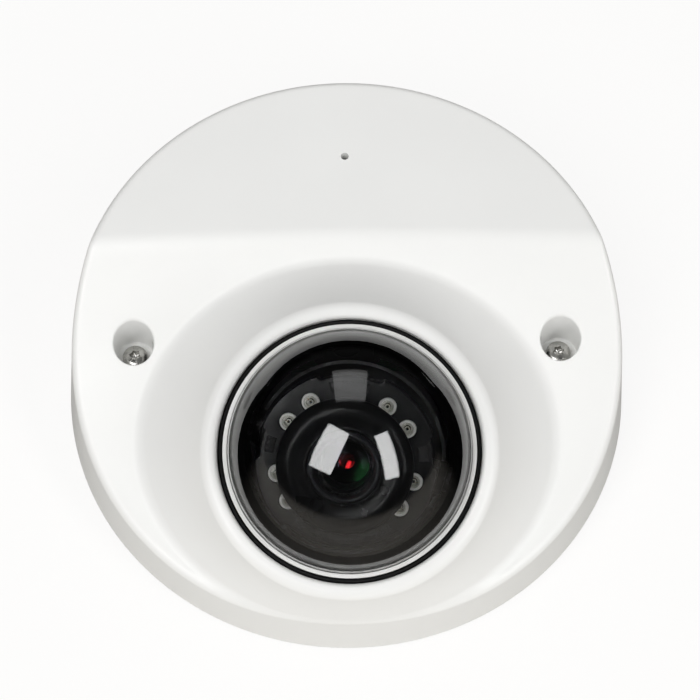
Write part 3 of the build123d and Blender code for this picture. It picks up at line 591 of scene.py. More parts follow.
class DOMECAM_OT_dome(bpy.types.Operator):
    """Builds the clear dome, the print inside its edge, the white trim ring and the black seal in the lip"""
    bl_idname = "domecam.dome"
    bl_label = "Dome and rings"

    def execute(self, context):
        size = context.scene.dome_camera.dome
        inner = size.radius - size.wall
        rise = np.linspace(math.pi / 2, 0, 72)
        outer_arc = size.radius * np.stack([np.cos(rise), np.sin(rise)], 1)
        inner_arc = inner * np.stack([np.cos(rise[::-1]), np.sin(rise[::-1])], 1)
        flange = rounded([(size.radius, size.radius), (size.radius, size.flange_top),
                          (size.flange_radius, size.flange_top), (size.flange_radius, size.flange_low),
                          (inner, size.flange_low), (inner, size.radius)], 0.12 * MM, 3)[1:-1]
        outline = np.vstack([outer_arc, flange[flange[:, 1] < 0], inner_arc])
        dome = new_piece("clear_dome", [turned(outline, NECK, size.columns, closed=False)])
        finish_piece(dome, "cover", "clear_dome", clear_polycarbonate(context), "dome_bubble")

        turn = full_turn(size.columns)
        ahead, level = math.sin(size.mask_lean) * -np.sin(turn), math.cos(size.mask_lean)
        tops = [np.arctan2(ahead, level) + np.arccos(math.cos(rim) / np.hypot(ahead, level))
                for rim in (size.mask, size.mask_end)]
        share = np.linspace(0, 1, 20)[:, None]
        # Both prints carry painted light and shade: together they run from black high up to white at the rim.
        for name, slot_name, first, last, ink in (
                ("dome_mask", "black_plastic", tops[0], tops[1], black_ink_painted_light(context)),
                ("dome_edge", "white_plastic", tops[1], 0 * turn + np.pi / 2, white_ink_painted_shade(context))):
            polar = first + share * (last - first)
            shells = []
            for radius in (inner - 0.03 * MM, inner + 0.05 * MM):
                across, height = radius * np.sin(polar), radius * np.cos(polar)
                if name == "dome_edge":
                    across = np.vstack([across, radius + 0 * turn])
                    height = np.vstack([height, size.flange_low + 0.1 * MM + 0 * turn])
                shells.append(around(across, height, turn))
            inked = new_piece(name, [(put(np.concatenate([shells[0], shells[1][::-1]]), NECK), True, True)])
            finish_piece(inked, "cover", slot_name, ink)

        gap = 0.05 * MM
        near = size.radius + gap
        far = near + size.trim_wall
        ring = rounded([(near, size.flange_top), (far, size.flange_top), (far, size.trim_top, 0.16 * MM),
                        (near, size.trim_top, 0.12 * MM)], 0.05 * MM)
        trim = new_piece("trim_ring", [turned(ring, NECK, size.columns)])
        finish_piece(trim, "cover", "white_plastic", trim_white(context), "dome_trim_ring")

        near, far = far + gap, context.scene.dome_camera.cover.lip_bore - gap
        edge = size.seal_top - 0.2 * MM
        ring = np.vstack([[(near, LEDGE_TOP), (far, LEDGE_TOP), (far, edge - 0.05 * MM)],
                          arc_through((far, edge), ((near + far) / 2, size.seal_top), (near, edge), 9)])
        seal = new_piece("lip_seal", [turned(ring, NECK, size.columns)])
        finish_piece(seal, "cover", "rubber_black", seal_rubber(context), "dome_seal")
        return {"FINISHED"}


# Lens unit: the places are on the optical axis

LED_PAIRS = (45.4, 114.9, -114.9, -45.4)
LED_TURNS = [math.radians(90 + pair + spread) for pair in LED_PAIRS for spread in (-12.3, 12.3)]
PAIR_TURNS = [math.radians(90 + pair) for pair in LED_PAIRS]


def bezel_radius(turn, size):
    """The bezel's outline: a round waist that rises to a lobe at each LED pair, with soft steps."""
    near = np.min([np.abs((turn - pair + np.pi) % (2 * np.pi) - np.pi) for pair in PAIR_TURNS], 0)
    step = np.clip((math.radians(26) - near) / math.radians(3), 0, 1)
    return size.bezel_waist + (size.bezel_lobe - size.bezel_waist) * step * step * (3 - 2 * step)


def d_outline(radius, flat, bend):
    """A circle that a straight line cuts off on its -x side, with rounded corners, anticlockwise."""
    half = math.acos(-flat / radius)
    arc = np.linspace(-half, half, 40)[1:-1]
    corner = radius * math.sin(half)
    points = [(-flat, -corner, bend)] + [(radius * math.cos(a), radius * math.sin(a)) for a in arc]
    return rounded(points + [(-flat, corner, bend)], 0.0)


class DOMECAM_OT_bezel(bpy.types.Operator):
    """Builds the lobed bezel with its LED windows and the textured pads between them"""
    bl_idname = "domecam.bezel"
    bl_label = "LED bezel"

    def execute(self, context):
        size = context.scene.dome_camera.lens
        turn = full_turn(480)
        edge = bezel_radius(turn, size)
        bore = size.hood_base - size.hood_wall + 0.05 * MM
        top, low = size.bezel_top, size.bezel_top - size.bezel_thick
        bend = 0.3 * MM
        swell = np.linspace(0, math.pi / 2, 6)
        rows = [(bore, low), (bore, top)]
        rows += [(bore + share * (edge - bend - bore), top) for share in (0.25, 0.5, 0.75)]
        rows += [(edge - bend + bend * math.sin(part), top - bend + bend * math.cos(part)) for part in swell]
        rows += [(edge, size.board_low + 0.1 * MM), (edge - 0.1 * MM, size.board_low),
                 (edge - 0.5 * MM, size.board_low), (edge - 0.5 * MM, low)]
        grid = np.array([around(radius, height, turn) for radius, height in rows])
        bezel = new_piece("bezel", [(put(grid, LENS), True, True)])
        window = d_outline(size.led_window, size.led_flat, 0.25 * MM)
        levels = [(0, low - 0.2 * MM), (1, low - 0.2 * MM), (1, top - 0.12 * MM), (1.08, top + 0.02 * MM),
                  (1.08, top + 1 * MM), (0, top + 1 * MM)]
        cutter = new_piece("window_cut", [prism(window, levels, moved(spun(LENS, led), (size.led_circle, 0, 0)))
                                          for led in LED_TURNS])
        carve(bezel, [cutter], "DIFFERENCE")
        smooth(bezel.data, 32)
        finish_piece(bezel, "lens", "black_plastic", black_moulding(context), "led_bezel")

        pads, foot, pad_height = [], top - 0.02 * MM, 0.1 * MM
        u, v = np.linspace(-1, 1, 40), np.array([0, 0.03, 0.06, 0.5, 0.94, 0.97, 1])[:, None]
        radius = 12.75 * MM + v * 1.75 * MM
        lift = np.minimum(1, np.minimum(v, 1 - v) / 0.06) * np.minimum(1, (1 - np.abs(u)) / 0.04)
        for centre, half in ((90, 15), (169.75, 6), (270, 38), (10.25, 6)):
            angles = u[None, :] * math.radians(half) + math.radians(centre)
            for height in (foot + pad_height * lift, foot):
                pads.append((put(around(radius, height, angles), LENS), False, False))
        pad = new_piece("bezel_pads", pads, sharp=60)
        finish_piece(pad, "lens", "black_plastic", spark_eroded_black(context))
        return {"FINISHED"}


class DOMECAM_OT_leds(bpy.types.Operator):
    """Builds the infrared LEDs: a round silver dish with steps, its chip with a bond wire, and clear resin"""
    bl_idname = "domecam.leds"
    bl_label = "LEDs"

    def execute(self, context):
        size = context.scene.dome_camera.lens
        low, top, radius = size.led_low, size.led_low + size.led_height, size.led_radius
        dish = [(0, low), (radius, low), (radius, top - 0.06 * MM), (radius - 0.06 * MM, top),
                (1.2 * MM, top), (1.14 * MM, top - 0.1 * MM), (0.98 * MM, top - 0.14 * MM),
                (0.9 * MM, top - 0.1 * MM), (0.8 * MM, top - 0.12 * MM), (0.56 * MM, top - 0.42 * MM),
                (0.5 * MM, top - 0.44 * MM),
                (0, top - 0.45 * MM)]
        chip_top, chip_low = top - 0.27 * MM, top - 0.44 * MM
        chip = box_outline(0.44 * MM, 0.44 * MM, 0.03 * MM, 2)
        along = np.linspace(0, 1, 14)
        path = np.stack([0.08 * MM + 0.8 * MM * along, 0.1 * MM * along,
                         chip_top + 0.1 * MM * along + 0.1 * MM * np.sin(np.pi * along)], -1)
        ring = full_turn(6)
        wire = path[:, None, :] + 0.03 * MM * np.stack([0 * ring, np.cos(ring), np.sin(ring)], -1)[None]
        resin_low = top - 0.4 * MM
        resin = np.vstack([[(0, resin_low), (0.5 * MM, resin_low), (0.8 * MM, top - 0.1 * MM)],
                           sphere_cap(1.12 * MM, top - 0.04 * MM, 0.12 * MM, 6)])
        dishes, chips, wires, resins = [], [], [], []
        for led in LED_TURNS:
            place = moved(spun(LENS, led), (size.led_circle, 0, 0))
            dishes.append(turned(np.array(dish), place, 40, closed=False))
            chips.append(prism(chip, [(0, chip_low), (1, chip_low), (1, chip_top - 0.03 * MM),
                                      (0.93, chip_top), (0, chip_top)], place))
            wires.append((put(wire, place), False, True))
            resins.append(turned(resin, place, 32, closed=False))
        finish_piece(new_piece("leds", dishes), "lens", "led_silver", led_silver(context), "ir_leds")
        finish_piece(new_piece("led_chips", chips), "lens", "chip_black", led_chip(context))
        finish_piece(new_piece("led_wires", wires), "lens", "led_silver", gold_wire(context))
        finish_piece(new_piece("led_resin", resins), "lens", "lens_glass", clear_resin(context))
        return {"FINISHED"}


class DOMECAM_OT_hood(bpy.types.Operator):
    """Builds the glossy hood between bezel and lens"""
    bl_idname = "domecam.hood"
    bl_label = "Lens hood"

    def execute(self, context):
        size = context.scene.dome_camera.lens
        low, top, wall = size.bezel_top, size.hood_top, size.hood_wall
        mouth, shoulder = size.lens_flange + 0.1 * MM, 9.8 * MM
        foot_out, foot_in = size.hood_base - wall, size.hood_base - wall - 0.6 * MM
        bulge = low + 0.62 * (top - low)
        outer = rounded([(size.hood_base, low), (size.hood_edge, top - 0.5 * MM, 1.3 * MM),
                         (shoulder, top + size.hood_rise, 3 * MM), (mouth + 0.5 * MM, top)], 0.0, 14)
        inner = arc_through((mouth, top), (size.hood_bulge - wall, bulge - 0.7 * wall), (foot_out, low), 30)
        rim = [(mouth + 0.42 * MM, top + 0.03 * MM), (mouth + 0.25 * MM, top + 0.06 * MM),
               (mouth + 0.08 * MM, top + 0.03 * MM)]
        foot = [(foot_in, low + 0.4 * MM), (foot_in, size.led_low), (foot_out, size.led_low), (foot_out, low)]
        outline = np.vstack([outer, rim, inner[inner[:, 1] > low + 0.45 * MM], foot])
        hood = new_piece("hood", [turned(outline, LENS, 192)], sharp=50)
        finish_piece(hood, "lens", "gloss_black", gloss_black(context), "lens_hood")
        return {"FINISHED"}


class DOMECAM_OT_lens(bpy.types.Operator):
    """Builds the lens: the front ring, the front meniscus, the baffle rings and the coated lenses behind it"""
    bl_idname = "domecam.lens"
    bl_label = "Lens"

    def execute(self, context):
        size = context.scene.dome_camera.lens
        top, glass, flange = size.hood_top, size.lens_glass, size.lens_flange
        ring = rounded([(glass - 0.5 * MM, top), (flange, top), (flange, top + 0.55 * MM, 0.15 * MM),
                        (flange - 0.45 * MM, top + 1 * MM, 0.2 * MM), (glass, top + 1 * MM, 0.2 * MM)], 0.04 * MM)
        front = new_piece("lens_ring", [turned(ring, LENS, 160)])
        finish_piece(front, "lens", "black_metal", black_anodised(context), "lens_front_ring")

        low, edge = top - 1.4 * MM, glass - 0.6 * MM
        outer = sphere_cap(edge, top, size.lens_bulge, 28)[::-1]
        hollow = sphere_cap(edge - 0.6 * MM, low, 1.1 * MM, 20)
        outline = np.vstack([outer, [(glass - 0.05 * MM, top), (glass, top - 0.1 * MM), (glass, low)], hollow])
        lens = new_piece("front_glass", [turned(outline, LENS, 128, closed=False)])
        finish_piece(lens, "lens", "lens_glass", coated_glass(context), "front_lens")

        bore, first, rings = size.barrel_bore - 0.02 * MM, 9.75 * MM, 5
        steps = [(bore, low - 0.05 * MM), (bore, first)]
        pitch = (low - first - 0.15 * MM) / rings
        for index in range(rings):
            inner, height = (4.3 - 0.02 * index) * MM, first + pitch * index
            steps += [(inner, height), (inner - 0.02 * MM, height + 0.8 * pitch),
                      (inner + 0.05 * MM, height + 0.9 * pitch)]
        baffle = new_piece("baffle_rings", [turned(np.array(steps), LENS, 128)])
        finish_piece(baffle, "lens", "black_metal", baffle_black(context))

        radius, low, hollow = size.barrel_bore, 4.0 * MM, 0.52 * MM
        rear = np.vstack([sphere_cap(radius, low + 3.8 * MM, -hollow, 24)[::-1], [(radius, low), (0, low)]])
        field = np.vstack([sphere_cap(radius, 1.1 * MM, 0.8 * MM, 16)[::-1],
                           sphere_cap(radius, -0.1 * MM, -0.8 * MM, 16)])
        glass = new_piece("rear_glass", [turned(part, LENS, 96, closed=False) for part in (rear, field)])
        finish_piece(glass, "lens", "lens_glass", green_coated_glass(context), "rear_lenses")
        radius, top = 1.5 * MM, size.middle_glass
        post = np.vstack([sphere_cap(radius - 0.05 * MM, top, -0.3 * MM, 16)[::-1],
                          [(radius, top), (radius, low + 2 * MM), (0, low + 2 * MM)]])
        middle = new_piece("middle_glass", [turned(post, LENS, 64, closed=False)])
        finish_piece(middle, "lens", "lens_glass", red_coated_glass(context))
        return {"FINISHED"}


# Finishes: real sizes in millimetres set each pattern's scale, and a noise's scale counts its waves in a metre

def add_node(tree, kind, inputs=None, **settings):
    """Adds one node: settings are its own fields, and inputs are values or other nodes' outputs."""
    made = tree.nodes.new(kind)
    for field, value in settings.items():
        setattr(made, field, value)
    for socket, value in (inputs or {}).items():
        if isinstance(value, bpy.types.NodeSocket):
            tree.links.new(value, made.inputs[socket])
        else:
            made.inputs[socket].default_value = value
    return made


def new_finish(name, base, roughness, metallic=0.0, **more):
    """A material with one shader whose constant values stand on its own sockets, with its tree and coordinates."""
    material = bpy.data.materials.new(name)
    material.use_nodes = True
    tree = material.node_tree
    tree.nodes.clear()
    inputs = {"Base Color": base, "Roughness": roughness, "Metallic": metallic}
    inputs.update({key.replace("_", " "): value for key, value in more.items()})
    shader = add_node(tree, "ShaderNodeBsdfPrincipled", inputs)
    add_node(tree, "ShaderNodeOutputMaterial", {"Surface": shader.outputs[0]})
    return material, tree, shader, add_node(tree, "ShaderNodeTexCoord").outputs["Object"]


def waves(millimetres):
    """Waves in a metre for a pattern of that size."""
    return 1000 / millimetres


def mottle(tree, shader, spot, size_mm, base, dark, rough_low, rough_high):
    """A cloudy pattern of that size between two close colours and two roughnesses."""
    cloud = add_node(tree, "ShaderNodeTexNoise", {"Vector": spot, "Scale": waves(size_mm), "Detail": 4.0})
    share = add_node(tree, "ShaderNodeMapRange", {0: cloud.outputs["Fac"], 1: 0.35, 2: 0.65}).outputs[0]
    mixed = add_node(tree, "ShaderNodeMix", {0: share, 6: dark, 7: base}, data_type="RGBA")
    tree.links.new(mixed.outputs[2], shader.inputs["Base Color"])
    rough = add_node(tree, "ShaderNodeMapRange", {0: share, 3: rough_high, 4: rough_low})
    tree.links.new(rough.outputs[0], shader.inputs["Roughness"])


def relief(tree, shader, height, depth_mm, strength=1.0, before=None):
    """Turns a height from 0 to 1 into bumps of that depth."""
    inputs = {"Height": height, "Distance": depth_mm * MM, "Strength": strength}
    if before is not None:
        inputs["Normal"] = before
    bump = add_node(tree, "ShaderNodeBump", inputs)
    tree.links.new(bump.outputs[0], shader.inputs["Normal"])
    return bump.outputs[0]


def grain(tree, shader, spot, size_mm, depth_mm, detail=2.0, strength=1.0, before=None):
    """Uneven bumps of that size and depth, as casting, moulding, blasting and drawing leave them."""
    noise = add_node(tree, "ShaderNodeTexNoise", {"Vector": spot, "Scale": waves(size_mm), "Detail": detail})
    return relief(tree, shader, noise.outputs["Fac"], depth_mm, strength, before)


def stretched(tree, spot, shares):
    """Object coordinates scaled along each axis, so that a pattern on them turns into lines."""
    return add_node(tree, "ShaderNodeMapping", {"Vector": spot, "Scale": shares}).outputs[0]


def painted_shade_ramp(context, tree, shader, spot, first_mm, last_mm, last):
    """Painted light and shade: runs the shader's colour over to a lighter or darker one between two heights along
    the print's leaning axis.

    The height is the dot product of the coordinates and that axis, counted from the dome's centre.
    """
    lean = context.scene.dome_camera.dome.mask_lean
    axis = NECK[0] @ np.array([0, -math.sin(lean), math.cos(lean)])
    level = float(np.dot(DOME_CENTRE, axis))
    height = add_node(tree, "ShaderNodeVectorMath", {0: spot, 1: tuple(axis)}, operation="DOT_PRODUCT")
    share = add_node(tree, "ShaderNodeMapRange", {
        0: height.outputs["Value"], 1: level + first_mm * MM, 2: level + last_mm * MM}).outputs[0]
    colours = {0: share, 6: shader.inputs["Base Color"].links[0].from_socket, 7: last}
    mixed = add_node(tree, "ShaderNodeMix", colours, data_type="RGBA")
    tree.links.new(mixed.outputs[2], shader.inputs["Base Color"])


def shade(rgba, share):
    """The same colour, darker or lighter by share."""
    return (*[min(1.0, part * share) for part in rgba[:3]], 1.0)


def chosen(context, name):
    """A colour of the panel as RGBA."""
    return (*getattr(context.scene.dome_camera.finish, name), 1.0)


def once(maker):
    """Makes a material the first time and hands out the same one afterwards."""
    made = {}

    def give(context):
        if maker.__name__ not in made:
            made[maker.__name__] = maker(context)
        return made[maker.__name__]
    return give


@once
def powder_coat(context):
    """Polyester powder coat on die-cast aluminium, baked: a satin white skin with a faint orange peel.

    The peel's waves are about 0.6 mm long and a few micrometres high; they are drawn 1 mm long so that they show.
    """
    base = chosen(context, "shell")
    material, tree, shader, spot = new_finish(
        "powder_coat_white", base, 0.42, Coat_Weight=0.12, Coat_Roughness=0.3)
    mottle(tree, shader, spot, 22, base, shade(base, 0.985), 0.38, 0.47)
    peel = grain(tree, shader, spot, 1.0, 0.006)
    grain(tree, shader, spot, 0.25, 0.0015, detail=1.0, before=peel)
    return material


@once
def die_cast(context):
    """Die-cast aluminium, tumbled and left bare: dull grey with the cold, slightly wavy skin of the mould."""
    base = chosen(context, "casting")
    material, tree, shader, spot = new_finish("die_cast_aluminium", base, 0.5, 0.85)
    mottle(tree, shader, spot, 7, base, shade(base, 0.8), 0.42, 0.62)
    grain(tree, shader, spot, 0.8, 0.03, detail=5.0)
    return material


@once
def soft_rubber(context):
    """Moulded silicone or EPDM rubber: dull black that greys a little where dust holds to it."""
    base = chosen(context, "rubber")
    material, tree, shader, spot = new_finish("rubber_black", base, 0.7)
    mottle(tree, shader, spot, 3, base, shade(base, 1.7), 0.62, 0.8)
    grain(tree, shader, spot, 0.3, 0.01)
    return material


@once
def seal_rubber(context):
    """The lip seal's rubber, pressed smooth: black with a narrow sheen along its crown."""
    base = chosen(context, "rubber")
    material, tree, shader, spot = new_finish("rubber_seal", shade(base, 0.25), 0.5, Specular_IOR_Level=0.2)
    mottle(tree, shader, spot, 2, shade(base, 0.25), shade(base, 0.4), 0.44, 0.58)
    return material


@once
def clear_polycarbonate(context):
    """Injection-moulded clear polycarbonate: glassy, with the faint swirl of the mould in its gloss."""
    material, tree, shader, spot = new_finish(
        "polycarbonate_clear", linear("#fbfcfc"), 0.0, IOR=1.585, Transmission_Weight=1.0)
    grain(tree, shader, spot, 14, 0.01, detail=1.0, strength=0.3)
    return material


@once
def black_ink_painted_light(context):
    """Matt black ink, pad-printed inside the dome where the lens doesn't look, with painted light: it turns to grey
    towards the rim.
    """
    material, tree, shader, spot = new_finish("ink_black_painted_light", linear("#050506"), 0.9, Specular_IOR_Level=0.05)
    mottle(tree, shader, spot, 1, linear("#050506"), linear("#080809"), 0.85, 0.95)
    # Painted light: the black print lightens to grey towards the rim of the dome.
    painted_shade_ramp(context, tree, shader, spot, 8.5, 3.4, linear("#626260"))
    return material


@once
def white_ink_painted_shade(context):
    """White ink, pad-printed below the black one where the dome meets its trim ring, with painted shade: full white
    at the rim only, greying higher up.
    """
    material, tree, shader, spot = new_finish("ink_white_painted_shade", linear("#fafaf8"), 0.6, Specular_IOR_Level=0.2)
    mottle(tree, shader, spot, 2, linear("#fafaf8"), linear("#f2f2ef"), 0.55, 0.68)
    # Painted shade: the white print turns grey away from the rim.
    painted_shade_ramp(context, tree, shader, spot, 0.5, 4.2, linear("#747472"))
    return material


@once
def trim_white(context):
    """White ABS, moulded and polished: a cleaner gloss than the painted cover."""
    material, tree, shader, spot = new_finish("abs_white", linear("#ececea"), 0.3)
    mottle(tree, shader, spot, 5, linear("#ececea"), linear("#e6e6e3"), 0.26, 0.34)
    return material


@once
def black_moulding(context):
    """Black polycarbonate, moulded in a finely etched tool: satin, almost without colour."""
    base = chosen(context, "black")
    material, tree, shader, spot = new_finish("polycarbonate_black", base, 0.36, Specular_IOR_Level=0.32)
    mottle(tree, shader, spot, 3, base, shade(base, 1.3), 0.32, 0.42)
    grain(tree, shader, spot, 0.35, 0.006)
    return material


@once
def matt_black(context):
    """Black polycarbonate with a coarse etched skin against stray light: almost without a sheen."""
    base = shade(chosen(context, "black"), 0.5)
    material, tree, shader, spot = new_finish("polycarbonate_black_matt", base, 0.6, Specular_IOR_Level=0.15)
    mottle(tree, shader, spot, 3, base, shade(base, 1.4), 0.55, 0.68)
    grain(tree, shader, spot, 0.4, 0.01)
    return material


@once
def spark_eroded_black(context):
    """The bezel's pads, moulded against a spark-eroded tool: tiny pits of about 0.2 mm, drawn 0.35 mm wide."""
    base = shade(chosen(context, "black"), 1.4)
    material, tree, shader, spot = new_finish("spark_eroded_black", base, 0.55)
    mottle(tree, shader, spot, 2, base, shade(base, 0.8), 0.5, 0.62)
    pits = add_node(tree, "ShaderNodeTexVoronoi", {"Vector": spot, "Scale": waves(0.35)})
    relief(tree, shader, pits.outputs["Distance"], 0.08)
    return material


@once
def gloss_black(context):
    """Black ABS from a fine-polished tool: a soft gloss in which the lamps blur into grey areas."""
    base = shade(chosen(context, "black"), 0.6)
    material, tree, shader, spot = new_finish("abs_gloss_black", base, 0.3, Specular_IOR_Level=0.16)
    mottle(tree, shader, spot, 6, base, shade(base, 1.3), 0.27, 0.34)
    return material


@once
def stainless(context):
    """Cold-headed stainless steel: bright, with fine drawing lines round the screw's axis."""
    base = chosen(context, "steel")
    material, tree, shader, spot = new_finish("stainless_steel", base, 0.28, 1.0)
    mottle(tree, shader, spot, 1.2, base, shade(base, 0.75), 0.2, 0.36)
    grain(tree, shader, stretched(tree, spot, (0.2, 0.2, 1.0)), 0.12, 0.006)
    return material


@once
def solder_mask(context):
    """Glass-fibre board under green solder mask: semi-gloss, with the copper runs raised a little beneath it."""
    base = chosen(context, "board")
    material, tree, shader, spot = new_finish("solder_mask_green", base, 0.32)
    runs = add_node(tree, "ShaderNodeTexBrick", {
        "Vector": spot, "Scale": 1.0, "Color1": (1, 1, 1, 1), "Color2": (0.75, 0.75, 0.75, 1),
        "Mortar": (0, 0, 0, 1), "Mortar Size": 0.1 * MM, "Brick Width": 2.6 * MM, "Row Height": 0.55 * MM})
    gaps = {0: runs.outputs["Fac"], 6: base, 7: shade(base, 0.6)}
    mixed = add_node(tree, "ShaderNodeMix", gaps, data_type="RGBA")
    tree.links.new(mixed.outputs[2], shader.inputs["Base Color"])
    relief(tree, shader, runs.outputs["Color"], 0.02)
    return material


@once
def chip_epoxy(context):
    """Transfer-moulded epoxy: matt charcoal with a fine even grain."""
    base = linear("#26272a")
    material, tree, shader, spot = new_finish("epoxy_charcoal", base, 0.55)
    mottle(tree, shader, spot, 1.5, base, shade(base, 0.8), 0.5, 0.62)
    grain(tree, shader, spot, 0.15, 0.008, detail=1.0)
    return material


@once
def connector_plastic(context):
    """Moulded nylon of connectors: warm white and slightly waxy."""
    base = linear("#e6e1d2")
    material, tree, shader, spot = new_finish("nylon_ivory", base, 0.42, Subsurface_Weight=0.05)
    mottle(tree, shader, spot, 4, base, shade(base, 0.93), 0.36, 0.48)
    return material


@once
def tinned_steel(context):
    """Stamped, tin-plated steel sheet: bright grey with shallow rolling marks along it."""
    base = linear("#c4c5c6")
    material, tree, shader, spot = new_finish("tinned_steel", base, 0.3, 1.0)
    mottle(tree, shader, spot, 2.5, base, shade(base, 0.85), 0.24, 0.38)
    grain(tree, shader, stretched(tree, spot, (0.08, 1.0, 1.0)), 0.3, 0.01, detail=3.0)
    return material


@once
def bare_aluminium(context):
    """Extruded aluminium, cut and degreased: pale grey with saw lines across the fins."""
    base = linear("#cfd0d2")
    material, tree, shader, spot = new_finish("aluminium_extruded", base, 0.38, 1.0)
    mottle(tree, shader, spot, 3, base, shade(base, 0.86), 0.32, 0.45)
    grain(tree, shader, stretched(tree, spot, (1.0, 0.06, 0.06)), 0.25, 0.015)
    return material


@once
def black_anodised(context):
    """Turned aluminium, bead-blasted and dyed black: satin charcoal whose edges pick up a grey line."""
    base = linear("#2a2b2e")
    material, tree, shader, spot = new_finish("aluminium_black_anodised", base, 0.4, 0.6)
    mottle(tree, shader, spot, 1.6, base, shade(base, 1.35), 0.34, 0.46)
    grain(tree, shader, spot, 0.2, 0.008)
    return material


@once
def baffle_black(context):
    """Blackened baffle rings inside the barrel: nearly lightless, with a soft gleam on each edge."""
    base = linear("#0c0c0d")
    material, tree, shader, spot = new_finish("baffle_black", base, 0.42, Specular_IOR_Level=0.25)
    mottle(tree, shader, spot, 1, base, shade(base, 1.6), 0.36, 0.5)
    return material


@once
def coated_glass(context):
    """Optical glass with a multilayer coating: clear, and the little that it mirrors turns faintly violet."""
    material, tree, shader, spot = new_finish(
        "optical_glass", linear("#f6f8f7"), 0.0, IOR=1.6, Transmission_Weight=1.0, Specular_IOR_Level=0.02,
        Specular_Tint=linear("#3c3843"))
    grain(tree, shader, spot, 3, 0.0004, detail=1.0, strength=0.2)
    return material


@once
def green_coated_glass(context):
    """The rear lenses' coating: nearly black glass that mirrors a little green."""
    base = linear("#050607")
    material, tree, shader, spot = new_finish(
        "optical_glass_green", base, 0.06, IOR=1.6, Specular_Tint=(0.02, 0.19, 0.045, 1))
    mottle(tree, shader, spot, 2, base, linear("#070509"), 0.04, 0.08)
    return material


@once
def red_coated_glass(context):
    """The middle lens's coating: nearly black glass that mirrors the longest red waves."""
    base = linear("#050303")
    material, tree, shader, spot = new_finish(
        "optical_glass_red", base, 0.1, IOR=2.9, Specular_Tint=(1, 0.03, 0.04, 1))
    mottle(tree, shader, spot, 2, base, linear("#080404"), 0.08, 0.13)
    return material


@once
def led_silver(context):
    """Silver-plated lead frame in a pale package, polished into a cup: the brightest metal on the unit."""
    base = linear("#fbfaf7")
    material, tree, shader, spot = new_finish("led_silver", base, 0.3, 0.1)
    mottle(tree, shader, spot, 0.8, base, shade(base, 0.85), 0.24, 0.38)
    return material


@once
def led_chip(context):
    """Gallium arsenide chip: dark grey-blue and mirror-like."""
    base = linear("#2c2f3a")
    material, tree, shader, spot = new_finish("gallium_arsenide", base, 0.2, 0.5)
    mottle(tree, shader, spot, 0.3, base, shade(base, 1.6), 0.15, 0.3)
    return material


@once
def gold_wire(context):
    """Drawn gold bond wire."""
    base = linear("#e2b65a")
    material, tree, shader, spot = new_finish("gold_wire", base, 0.25, 1.0)
    mottle(tree, shader, spot, 0.2, base, shade(base, 0.85), 0.2, 0.3)
    return material


@once
def clear_resin(context):
    """Cast silicone resin over the chip: clear, with a slight swell."""
    material, tree, shader, spot = new_finish(
        "resin_clear", linear("#f4f4ee"), 0.02, IOR=1.41, Transmission_Weight=1.0)
    grain(tree, shader, spot, 0.8, 0.004, detail=1.0, strength=0.3)
    return material


@once
def filter_glass(context):
    """Infrared-cut filter: thin cyan-tinted glass with a reddish mirror."""
    base = linear("#3c6f73")
    material, tree, shader, spot = new_finish("filter_cyan", base, 0.05, Specular_Tint=linear("#ff8a7a"))
    mottle(tree, shader, spot, 2, base, shade(base, 0.85), 0.03, 0.07)
    return material


@once
def sensor_silicon(context):
    """Sensor die under its cover glass: dark with a violet sheen."""
    base = linear("#1c1b26")
    material, tree, shader, spot = new_finish("silicon_sensor", base, 0.12, 0.4)
    rows = add_node(tree, "ShaderNodeTexVoronoi", {"Vector": spot, "Scale": waves(0.4)}, distance="CHEBYCHEV")
    mixed = add_node(tree, "ShaderNodeMix", {0: rows.outputs["Distance"], 6: base, 7: linear("#3a3358")},
                     data_type="RGBA")
    tree.links.new(mixed.outputs[2], shader.inputs["Base Color"])
    return material


# Carried-over nodes: which finish each takes

NODE_FINISHES = {
    die_cast: ["base_housing", "gimbal_seat"],
    soft_rubber: ["base_seal", "cable_grommet", "screw_retainers", "dome_gasket", "mic_boot"],
    stainless: ["board_screws", "seat_screws", "clamp_screws"],
    solder_mask: ["main_board", "sensor_board", "led_board"],
    chip_epoxy: ["processor", "memory_chips", "ethernet_transformer", "reset_switch", "microphone"],
    connector_plastic: ["cable_header", "lens_connector", "reset_button"],
    tinned_steel: ["memory_card_slot", "capacitors"],
    bare_aluminium: ["heat_spreader", "dome_clamp_ring"],
    matt_black: ["inner_liner"],
    black_moulding: ["pan_yoke", "pan_retainer", "tilt_frame", "lens_cradle", "cradle_clip", "lens_mount"],
    black_anodised: ["lens_barrel", "tilt_pins"],
    filter_glass: ["ir_cut_filter"],
    sensor_silicon: ["image_sensor"],
}


class DOMECAM_OT_nodes(bpy.types.Operator):
    """Gives every carried-over part of the frame its finish"""
    bl_idname = "domecam.nodes"
    bl_label = "Finish the inner parts"

    def execute(self, context):
        for maker, names in NODE_FINISHES.items():
            for name in names:
                node = frame["nodes"][name]
                for slot in node.material_slots:
                    slot.material = maker(context)
                if not node.material_slots:
                    node.data.materials.append(maker(context))
        return {"FINISHED"}


# Stage

def softbox(name, target, direction, upward, distance, wide, high, radiance):
    """An area lamp that looks at the target: its power is its radiance times its area times pi."""
    lamp = bpy.data.lights.new(name, "AREA")
    lamp.shape = "RECTANGLE"
    lamp.size, lamp.size_y = wide, high
    lamp.energy = radiance * wide * high * math.pi
    holder = bpy.data.objects.new(name, lamp)
    axes, origin = place_of(np.asarray(target) + distance * direction, direction, np.cross(upward, direction))
    turn = Matrix(axes.tolist()).to_4x4()
    turn.translation = Vector(origin)
    holder.matrix_world = turn
    bpy.context.scene.collection.objects.link(holder)


def empty_tree(owner):
    """The cleared node tree of a material or a world."""
    owner.use_nodes = True
    owner.node_tree.nodes.clear()
    return owner.node_tree


